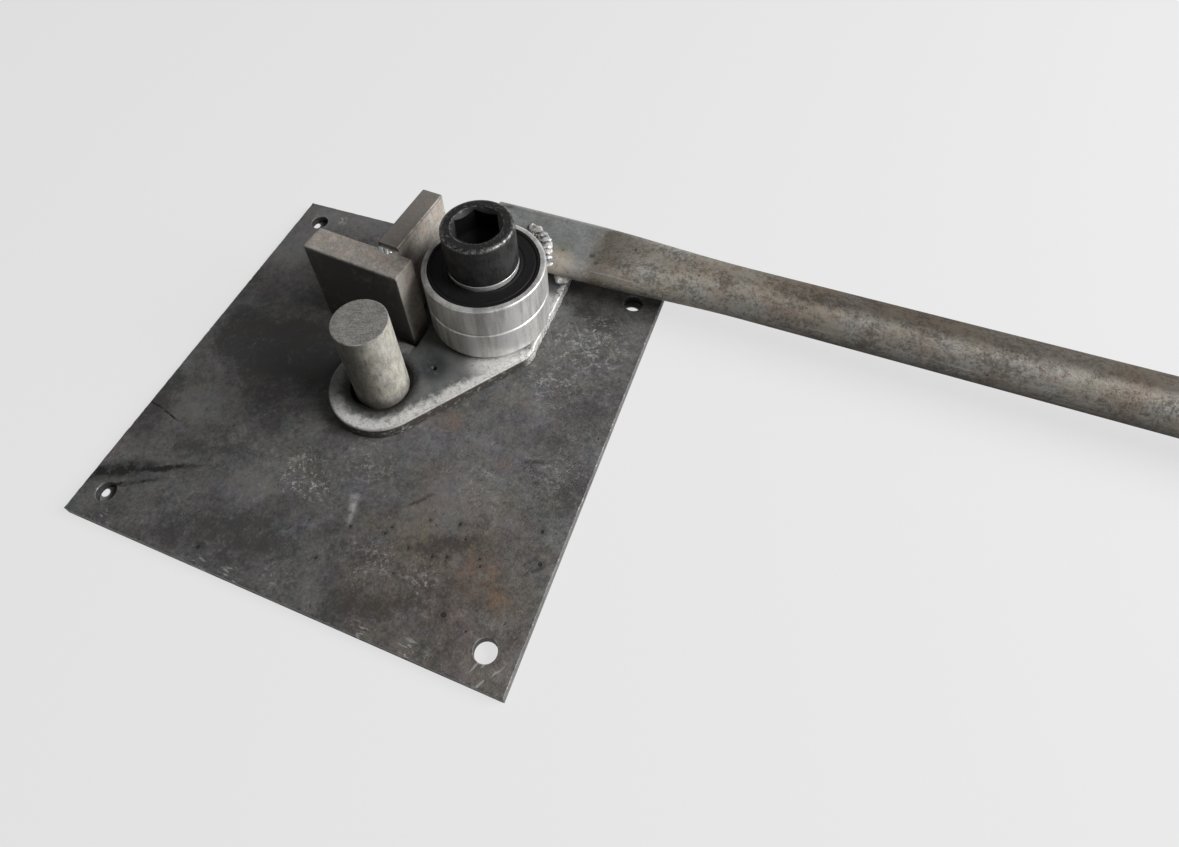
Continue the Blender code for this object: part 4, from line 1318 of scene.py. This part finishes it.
def makeFenceWelds():
    sizes = fence
    leg, length, thick, deep = sizes["footLeg"], sizes["length"], sizes["thickness"], sizes["weldDeep"]
    right = -sizes["buttressSetback"]
    left = right - sizes["buttressThickness"]
    back = thick + sizes["gap"] + sizes["buttressLength"]
    far, sunk = sizes["notch"]
    height = fenceHigh.z - plateHigh.z
    foot = (leg, leg, 0.0)
    out, up = sizes["crest"]
    crest = (far + out, sunk + up, height - sunk)
    short = sizes["crestShort"]
    routes = (  # name, node, start, end, (out, up, level)
        ("fenceEndWeld", "fence_end_weld", (-length, thick), (-length, 0), foot),
        ("fenceBackWeld", "fence_back_weld", (left, thick), (-length, thick), foot),
        ("buttressSideWeld", "buttress_side_weld", (left, back), (left, thick + leg), foot),
        ("buttressEndWeld", "buttress_end_weld", (right, back), (left, back), foot),
        ("buttressTopWeld", "buttress_top_weld", (right - short, thick), (left + short, thick), crest),
    )
    steps = 8
    for index, (name, node, start, end, (out, up, level)) in enumerate(routes):
        first, last = Vector(start), Vector(end)
        way = (last - first).normalized()
        inset = Vector((-way.y, way.x)) * deep
        path = []
        for step in range(steps + 1):
            spot = first.lerp(last, step / steps) - inset
            path.append(tuple(fenceFoot @ Vector((spot.x, spot.y, level - deep))))
        settle(name, beadMesh(path, out, up, seed=float(index)), "weld_metal", "base", [node])


makeFence()
makeFenceWelds()


# The post and what turns on the bolt

post = {"edge": 0.5 * mm, "weldGap": 0.05 * mm, "weldDeep": 1.8 * mm, "weldEdge": 0.2 * mm}


def makePost():
    radius, top = postRadius, postHigh.z
    corners = [(0, postLow.z, 0), (radius, postLow.z, 0), (radius, top, post["edge"]), (0, top, 0)]
    mesh = turnedMesh(corners, finish="post")
    settle("pivotPost", mesh, "post", "base", ["pivot_post"])
    inner, deep = radius + post["weldGap"], post["weldDeep"]
    corners = [(inner, 0, 0), (inner + deep, 0, post["weldEdge"]), (inner, deep, 0)]
    ring = turnedMesh(corners, finish="weld_metal")
    settle("postRootWeld", ring, "weld_metal", "base", ["post_root_weld"])


bearing = {
    "edge": 1.1 * mm,
    "sealRadius": 23.3 * mm,
    "sealInner": 15.1 * mm,
    "sealThickness": 1.2 * mm,
    "sealRecess": 0.3 * mm,
    "sealGap": 0.2 * mm,
    "lip": 0.35 * mm,
    "outerShoulder": 21.2 * mm,
}


def makeBearing(prefix):
    sizes = bearing
    low, high = (corner.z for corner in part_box(prefix + "_outer_ring"))
    edge, lip = sizes["edge"], sizes["lip"]
    recess = sizes["sealRadius"] + sizes["sealGap"]
    ledge = sizes["sealRecess"] + sizes["sealThickness"] + sizes["sealGap"]
    shoulder = sizes["outerShoulder"]
    corners = [
        (recess, low, lip),
        (ringRadius, low, edge),
        (ringRadius, high, edge),
        (recess, high, lip),
        (recess, high - ledge, 0),
        (shoulder, high - ledge, 0),
        (shoulder, low + ledge, 0),
        (recess, low + ledge, 0),
    ]
    ring = turnedMesh(corners, axis)
    settle(prefix + "OuterRing", ring, "bearing_steel", prefix + "_roller", [prefix + "_outer_ring"])
    for end in ("top", "bottom"):
        makeSeal(prefix, end, high if end == "top" else low)


# a moulded seal: a rolled outer lip, a sunk web with a raised bead, and an inner lip
def makeSeal(prefix, end, face):
    sizes = bearing
    way = -1 if end == "top" else 1
    outer, inner = sizes["sealRadius"], sizes["sealInner"]
    steps = (
        (inner, 0.0, 0.15),
        (inner + 0.9 * mm, 0.0, 0.15),
        (inner + 1.1 * mm, 0.28 * mm, 0.1),
        (inner + 2.0 * mm, 0.28 * mm, 0.1),
        (inner + 2.2 * mm, 0.06 * mm, 0.1),
        (outer - 2.0 * mm, 0.06 * mm, 0.1),
        (outer - 1.8 * mm, 0.34 * mm, 0.1),
        (outer - 1.1 * mm, 0.34 * mm, 0.1),
        (outer - 0.9 * mm, 0.0, 0.15),
        (outer, 0.0, 0.25),
    )
    corners = [(r, face + way * (sizes["sealRecess"] + drop), cut * mm) for r, drop, cut in steps]
    floor = face + way * (sizes["sealRecess"] + sizes["sealThickness"])
    corners += [(outer, floor, 0), (inner, floor, 0)]
    mesh = turnedMesh(corners, axis, finish="seal_rubber")
    settle(f"{prefix}Seal{end.title()}", mesh, "seal_rubber", prefix + "_roller", [f"{prefix}_seal_{end}"])


bolt = {
    "head": 15 * mm,
    "shank": 9.9 * mm,
    "topEdge": 1.7 * mm,
    "hexFlats": 17 * mm,
    "hexDepth": 10 * mm,
    "leadIn": 0.9 * mm,
    "floorShare": 0.9,  # of the flats, as wide as the cone at the bottom begins
    "floorDrop": 0.1 * mm,
    "drillTip": 2.2 * mm,
    "tipRadius": 0.3 * mm,
    "hexSteps": 12,
    "underEdge": 0.4 * mm,
    "underInset": 0.5 * mm,
    "rimEdge": 0.3 * mm,
    "headGap": 0.1 * mm,  # over the washer
    "leadInSlope": 0.8,
}
washers = {"gap": 0.4 * mm, "edge": 0.3 * mm}


def makeBolt():
    sizes = bolt
    low, high = (corner.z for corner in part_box("roller_bolt"))
    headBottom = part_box("bolt_washer")[1].z + sizes["headGap"]
    head, shank, flats = sizes["head"], sizes["shank"], sizes["hexFlats"] / 2
    rim = flats / math.cos(math.pi / 6) + sizes["leadIn"]
    inward = 2 * mm  # the last corner only gives the rim's edge its way, and is dropped
    side = eased(
        [
            (head, headBottom, sizes["underEdge"]),
            (head, high, sizes["topEdge"]),
            (rim, high, sizes["rimEdge"]),
            (rim - inward, high - inward, 0),
        ],
        5,
    )
    count = 6 * sizes["hexSteps"]
    shape = startShape()
    grimeAndShade = shape.verts.layers.float["scale"]

    def circle(radius, z, worn=0.0):
        return addCircle(shape, axis, radius, z, worn, count)

    def hexagon(level):  # level gives the height from the radius
        points = []
        for step in range(count):
            a = math.tau * step / count
            reach = flats / math.cos((a % (math.pi / 3)) - math.pi / 6)
            points.append((axis.x + reach * math.cos(a), axis.y + reach * math.sin(a), level(reach), 0.0))
        return addRing(shape, points)

    floor = high - sizes["hexDepth"]
    under = head - sizes["underInset"]
    rings = [circle(shank, low), circle(shank, headBottom), circle(under, headBottom)]
    rings += [circle(r, z, worn) for r, z, worn in side[:-1]]
    socket = [
        hexagon(lambda reach: high - (rim - reach) * sizes["leadInSlope"]),
        hexagon(lambda reach: floor),
        circle(sizes["floorShare"] * flats, floor - sizes["floorDrop"]),
        circle(sizes["tipRadius"], floor - sizes["drillTip"]),
    ]
    # the socket's points are marked for its painted shade
    for ring in socket:
        for point in ring:
            point[grimeAndShade] = 1.0
    rings += socket
    skinRings(shape, rings)
    shape.faces.new(rings[0])
    shape.faces.new(rings[-1])
    settle("rollerBolt", closeShape(shape, 45), "black_oxide", "arm", ["roller_bolt"])


def makeWashers():
    bore, edge = bolt["shank"] + washers["gap"], washers["edge"]
    for name, node in (("boltWasher", "bolt_washer"), ("rollerSpacer", "roller_spacer")):
        low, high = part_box(node)
        radius = (high.x - low.x) / 2
        corners = [(bore, low.z, edge), (radius, low.z, edge), (radius, high.z, edge), (bore, high.z, edge)]
        settle(name, turnedMesh(corners, axis, finish="bright_washer"), "bright_washer", "arm", [node])


makePost()
for prefix in ("lower", "upper"):
    makeBearing(prefix)
makeBolt()
makeWashers()
print("post and roller done")


# The handle

handle = {
    "tail": 25.5 * mm,  # of the half of the flat that runs on behind the roller
    "wall": 2.6 * mm,
    "flatWidth": 32.9 * mm,
    "flatThickness": 6 * mm,
    "lobe": 0.9 * mm,  # extra height of the two folded edges
    "hollow": 0.75 * mm,  # how far the middle of each face sinks below them
    "hollowPower": 0.8,
    "foldStart": 0.4,  # how folded the edges are where the tail ends
    "crushLength": 76 * mm,
    "notchAngle": math.radians(34),
    "cutterReach": 10 * mm,
    "slit": 0.5 * mm,
    "slitShort": 4 * mm,  # narrower by this where the bore is pinched shut
    "pinched": (0.55, 0.3),  # where the bore is half shut and where it is shut, as shares of the crush
    "endPoints": 22,
    "sidePoints": 14,
    "endEdge": 0.5 * mm,
    "flatSteps": 16,
    "crushSteps": 32,
    "roundSteps": 16,
}


def easedShare(share):
    share = min(max(share, 0.0), 1.0)
    return share * share * (3 - 2 * share)


# outline of a crushed tube: two round ends and two sides, which sink in the middle
def crushedSection(width, height, sink):
    end = height / 2
    straight = max(width / 2 - end, 0.0)
    ends, sides = handle["endPoints"], handle["sidePoints"]
    points = []
    for side in (1, -1):
        for step in range(ends):
            turn = -math.pi / 2 + math.pi * step / (ends - 1)
            points.append((side * (straight + end * math.cos(turn)), side * end * math.sin(turn)))
        for step in range(1, sides):
            share = step / sides
            dip = sink * math.sin(math.pi * share) ** handle["hollowPower"]
            points.append((side * straight * (1 - 2 * share), side * (end - dip)))
    return points


def carved(mesh, cutter):  # what is left when the cutter's shape is taken out
    tool = bpy.data.objects.new("cutter", cutter)
    scene.collection.objects.link(tool)

    def dress(piece):
        modifier = piece.modifiers.new("notch", "BOOLEAN")
        modifier.operation = "DIFFERENCE"
        modifier.solver = "EXACT"
        modifier.object = tool

    made = evaluated(mesh, dress)
    bpy.data.objects.remove(tool)
    bpy.data.meshes.remove(cutter)
    return made


def notchCutter():  # a prism in front of the tail, whose slanted side faces the roller
    wide, deep = 2 * handle["flatWidth"], handle["cutterReach"]
    slope = math.tan(handle["notchAngle"])
    outline = [(-wide, 0), (-wide, -wide), (wide * slope, -wide), (0, 0)]
    shape = startShape()
    rings = [addRing(shape, [(x, y, z, 0.0) for x, y in outline]) for z in (-deep, deep)]
    skinRings(shape, rings)
    for ring in rings:
        shape.faces.new(ring)
    bmesh.ops.recalc_face_normals(shape, faces=shape.faces)
    return meshOf(shape)


def makeHandle():
    sizes = handle
    diameter = handleHigh.z - handleLow.z
    crush, edge, tail = sizes["crushLength"], sizes["endEdge"], sizes["tail"]
    length = (handleHigh.x - diameter / 2 * math.sin(abs(handleYaw)) - notch.x) / math.cos(handleYaw)
    bore = diameter - 2 * sizes["wall"]
    shape = startShape()

    def ring(station, width, height, sink, worn=0.0):
        section = crushedSection(width, min(height, width), sink)
        return addRing(shape, [(station, y, z, worn) for y, z in section])

    def outer(station, worn=0.0):
        share = easedShare((station - flatLength) / crush)
        width = sizes["flatWidth"] + (diameter - sizes["flatWidth"]) * share
        height = sizes["flatThickness"] + (diameter - sizes["flatThickness"]) * share
        folded = (1 - share) ** 2 * easedShare((station + tail) / tail + sizes["foldStart"])
        return ring(station, width, height + sizes["lobe"] * folded, sizes["hollow"] * folded, worn)

    def stations(start, run, steps):
        return [start + run * step / steps for step in range(1, steps + 1)]

    full = flatLength + crush  # where the round begins
    outside = [-tail] + stations(-tail, flatLength + tail, sizes["flatSteps"])
    outside += stations(flatLength, crush, sizes["crushSteps"])
    outside += stations(full, length - edge - full, sizes["roundSteps"])
    rings = [outer(station, 0.8 if station == -tail else 0.0) for station in outside]
    slit = sizes["slit"]
    inside = sizes["flatWidth"] - 2 * sizes["wall"]
    half, shut = sizes["pinched"]
    rings += [
        ring(length, diameter - edge, diameter - edge, 0, 1.0),
        ring(length, bore + edge, bore + edge, 0, 1.0),
        ring(length - edge, bore, bore, 0),
        ring(full, bore, bore, 0),
        ring(flatLength + crush * half, bore, 0.5 * bore, 0),
        ring(flatLength + crush * shut, inside - sizes["slitShort"], slit, 0),
        ring(flatLength, inside, slit, 0),
        ring(-tail, inside, slit, 0),
    ]
    skinRings(shape, rings + rings[:1])
    bmesh.ops.recalc_face_normals(shape, faces=shape.faces)
    tube = carved(meshOf(shape), notchCutter())
    level = (handleLow.z + handleHigh.z) / 2
    tube.transform(Matrix.Translation((*notch, level)) @ Matrix.Rotation(handleYaw, 4, "Z"))
    settle("handleTube", tidied(tube, 50), "raw_tube", "arm", ["handle_tube"])


packer = {"edge": 0.4 * mm, "endEdge": 0.3 * mm, "scale": 0.6}


def makePacker():
    low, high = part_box("handle_packer")
    wide, deep, tall = high - low
    place = Matrix.Translation((low.x + wide / 2, low.y, low.z)) @ Matrix.Rotation(math.pi / 2, 4, "Z")
    block = barMesh((deep, wide, tall), packer["edge"], packer["endEdge"], place, packer["scale"])
    settle("handlePacker", block, "cut_bar", "arm", ["handle_packer"])


handleWelds = {
    "wallPath": (
        (43.6, 77.8), (41.2, 81.4), (38.4, 85.6), (35.8, 89.3), (33.6, 91.2), (31.2, 91.7), (28.0, 91.6),
    ),
    "wall": {"out": 3.4 * mm, "pitch": 2.6 * mm, "ripple": 0.2, "lumps": 1.2 * mm, "seed": 11.0},
    "crownPath": (
        (45.6, 75.0), (44.2, 77.6), (42.4, 81.6), (40.6, 85.8),
        (38.0, 89.8), (34.6, 93.0), (31.2, 94.8), (28.0, 95.2),
    ),
    "crown": {
        "out": 2.6 * mm,
        "up": 1.9 * mm,
        "pitch": 3.8 * mm,
        "ripple": 0.30,
        "lumps": 3.4 * mm,
        "seed": 17.0,
        "spread": 1.0,
    },
    "deep": 0.2 * mm,  # how far the beads sink into the arm plate
    "wallOver": 0.6 * mm,  # how far the wall bead stands over the flat
    "crownDeep": 0.5 * mm,
    "backDeep": 0.3 * mm,
    "backLeg": 4.4 * mm,
    "backSteps": 6,
    "backSeed": 23.0,
    "tackLumps": 1.1 * mm,
}


def smoothPath(points, level, steps=5):  # a path at one height through places given in mm
    path = []
    count = len(points)
    for index in range(count - 1):
        near = [min(max(index + k, 0), count - 1) for k in (-1, 0, 1, 2)]
        before, first, last, after = (Vector(points[k]) for k in near)
        for step in range(steps):
            t = step / steps
            spot = first + (last - before) * t / 2 + (before * 2 - first * 5 + last * 4 - after) * t * t / 2
            spot += (first * 3 - before - last * 3 + after) * t * t * t / 2
            path.append((spot.x * mm, spot.y * mm, level))
    path.append((points[-1][0] * mm, points[-1][1] * mm, level))
    return path


def makeHandleWelds():
    sizes = handleWelds
    top, deep = armHigh.z, sizes["deep"]
    crest = (handleLow.z + handleHigh.z + handle["flatThickness"]) / 2
    tall = crest - top + sizes["wallOver"]
    wall = beadMesh(smoothPath(sizes["wallPath"], top - deep), up=tall, **sizes["wall"])
    crown = beadMesh(smoothPath(sizes["crownPath"], crest - sizes["crownDeep"]), **sizes["crown"])
    settle("handleEndWeld", joined([wall, crown]), "weld_metal", "arm", ["handle_end_weld"])
    low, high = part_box("handle_packer")
    y, z, wide = high.y - sizes["backDeep"], top - deep, high.x - low.x
    steps = sizes["backSteps"]
    path = [(high.x - wide * step / steps, y, z) for step in range(steps + 1)]
    back = beadMesh(path, sizes["backLeg"], high.z - top, seed=sizes["backSeed"])
    settle("handleBackWeld", back, "weld_metal", "arm", ["handle_back_weld"])
    low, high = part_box("handle_tack_weld")
    shape = startShape()
    bmesh.ops.create_icosphere(shape, subdivisions=4, radius=1.0)
    centre = (low + high) / 2
    reach = (high - low) / 2
    ripple = shape.verts.layers.float["ripple"]
    for point in shape.verts:
        where = point.co.copy()
        lump = noise.noise(where * 1.4 + Vector((3, 1, 7))) * sizes["tackLumps"]
        point.co = centre + where * (reach + Vector((lump, lump, deep)))
        point[ripple] = 1.0
    settle("handleTackWeld", closeShape(shape, 80), "weld_metal", "arm", ["handle_tack_weld"])


makeHandle()
makePacker()
makeHandleWelds()
print("handle done")


# Weld spatter

spatter = {
    "arm": {
        "patches": (
            ((32, 66), (46, 66), (52, 76), (52, 100), (40, 103), (30, 80)),
            ((50.6, 36), (52.9, 36), (52.9, 76), (50.6, 76)),
        ),
        "edgeStrip": ((36, 5.4), (103, 5.4), (103, 10.0), (36, 10.0)),  # Y and Z on the torch-cut edge
        "edgeInset": 0.6 * mm,
        "level": armHigh.z,
        "density": 42000.0,
        "seed": 4,
    },
    "base": {
        "patches": (((-52, 44), (-22, 42), (-24, 84), (-44, 84)),),
        "level": plateHigh.z,
        "density": 26000.0,
        "seed": 9,
    },
    "smallest": 0.16 * mm,
    "largest": 0.5 * mm,
}


def makeSpatter():
    for body in ("arm", "base"):
        sizes = spatter[body]
        shape = bmesh.new()
        for patch in sizes["patches"]:
            shape.faces.new([shape.verts.new((x * mm, y * mm, sizes["level"])) for x, y in patch])
        if "edgeStrip" in sizes:
            side = armHigh.x - sizes["edgeInset"]
            shape.faces.new([shape.verts.new((side, y * mm, z * mm)) for y, z in sizes["edgeStrip"]])
        bmesh.ops.triangulate(shape, faces=shape.faces)
        values = {
            "Density": sizes["density"],
            "Smallest": spatter["smallest"],
            "Largest": spatter["largest"],
            "Seed": sizes["seed"],
            "Material": finishes["weld_metal"],
        }
        drops = grow(trees["spatter"], meshOf(shape), values)
        settle(body + "Spatter", tidied(drops, 80), "weld_metal", body)


makeSpatter()


# Inner pieces keep their solids

def coatInner():
    for name, node in frame["nodes"].items():
        finish = None
        if "ball" in name or "inner_ring" in name:
            finish = "bearing_steel"
        elif name.endswith("cage"):
            finish = "pressed_cage"
        if finish:
            node.data.materials.clear()
            node.data.materials.append(finishes[finish])


coatInner()
print("small pieces done")


# Stage, light and camera

stage = {
    "pale": 0.79,
    "dim": 0.28,  # what its bounced light is coloured by
    "shadowShare": 0.12,
    "fill": 0.06,
    "profile": ((1.0, 0.0), (3.6, 0.0), (4.6, 0.12), (5.4, 0.55), (5.9, 1.3), (6.0, 2.2), (6.0, 4.2)),
    "sides": 96,
    "sunk": 0.05 * mm,
    # painted light: spots where the floor under the plate glows, seen through the bolt holes
    "daylight": ((81.5, -80.0, 9.0), (-86.4, -79.8, 1.9), (83.3, 77.6, 4.2), (-86.6, 80.9, 1.9)),
}


def paleFloor():
    p = Paint("pale floor")
    pale, dim = (shade(tone, tone, tone) for tone in (stage["pale"], stage["dim"]))
    glow = p.add("ShaderNodeEmission", {}, {"Color": pale, "Strength": 1.0})["Emission"]
    matt = p.add("ShaderNodeBsdfDiffuse", {}, {"Color": pale})["BSDF"]
    bounce = p.add("ShaderNodeBsdfDiffuse", {}, {"Color": dim})["BSDF"]
    path = p.add("ShaderNodeLightPath")
    seen = path["Is Camera Ray"].most(path["Is Glossy Ray"]).most(path["Is Transmission Ray"])
    under = (p.x > plateLow.x) * (p.x < plateHigh.x) * (p.y > plateLow.y) * (p.y < plateHigh.y)
    lit = 1 - under
    # painted light: the floor under the plate glows in the spots seen through the bolt holes
    for place in stage["daylight"]:
        lit = lit.most(p.spot(*place, 0.8))
    paler = p.add("ShaderNodeMixShader", {}, {0: seen * lit, 1: bounce, 2: matt})[0]
    share = seen * lit * (1 - stage["shadowShare"])
    mixed = p.add("ShaderNodeMixShader", {}, {0: share, 1: paler, 2: glow})[0]
    p.add("ShaderNodeOutputMaterial", {}, {"Surface": mixed})
    return p.material


def makeStage():
    shape = startShape()
    rings = []
    for radius, z in stage["profile"]:
        rings.append(addCircle(shape, (0, 0), radius, z - stage["sunk"], 0.0, stage["sides"]))
    skinRings(shape, list(reversed(rings)))
    shape.faces.new(rings[0])
    mesh = meshOf(shape, "floor")
    mesh.shade_smooth()
    floor = bpy.data.objects.new("floor", mesh)
    scene.collection.objects.link(floor)
    mesh.materials.append(paleFloor())
    world = bpy.data.worlds.new("studio")
    world.use_nodes = True
    scene.world = world
    sky = Board(world.node_tree)
    sky.tree.nodes.clear()
    given = {"Color": shade(1, 1, 1), "Strength": stage["fill"]}
    dome = sky.add("ShaderNodeBackground", {}, given)["Background"]
    sky.add("ShaderNodeOutputWorld", {}, {"Surface": dome})


window = {
    "azimuth": 12,
    "height": 32,
    "away": 1.15,
    "size": (0.8, 0.7),
    "power": 24.0,
    "aim": (0.03, 0.04, 0.03),
}


def makeWindow():
    light = bpy.data.lights.new("window", "AREA")
    light.shape = "RECTANGLE"
    light.size, light.size_y = window["size"]
    light.energy = window["power"]
    holder = bpy.data.objects.new("window", light)
    around, above = math.radians(window["azimuth"]), math.radians(window["height"])
    level = math.cos(above)
    way = Vector((level * math.cos(around), level * math.sin(around), math.sin(above)))
    holder.location = Vector(window["aim"]) + way * window["away"]
    holder.rotation_euler = way.to_track_quat("Z", "Y").to_euler()
    scene.collection.objects.link(holder)


view = {
    "at": (146.77 * mm, -143.13 * mm, 279.37 * mm),
    "turn": (39.329, 4.551, 22.842),
    "lens": 24.357,
    "sensor": 36.0,
    "shift": (0.05753, -0.09057),
    "nearest": 0.01,
}


def makeCamera():
    camera = bpy.data.cameras.new("camera")
    camera.sensor_fit = "HORIZONTAL"
    camera.sensor_width = view["sensor"]
    camera.lens = view["lens"]
    camera.shift_x, camera.shift_y = view["shift"]
    camera.clip_start = view["nearest"]
    holder = bpy.data.objects.new("camera", camera)
    holder.location = view["at"]
    holder.rotation_euler = [math.radians(turn) for turn in view["turn"]]
    scene.collection.objects.link(holder)
    scene.camera = holder


makeStage()
makeWindow()
makeCamera()
scene.view_settings.view_transform = "Standard"
print("stage, light and camera done")
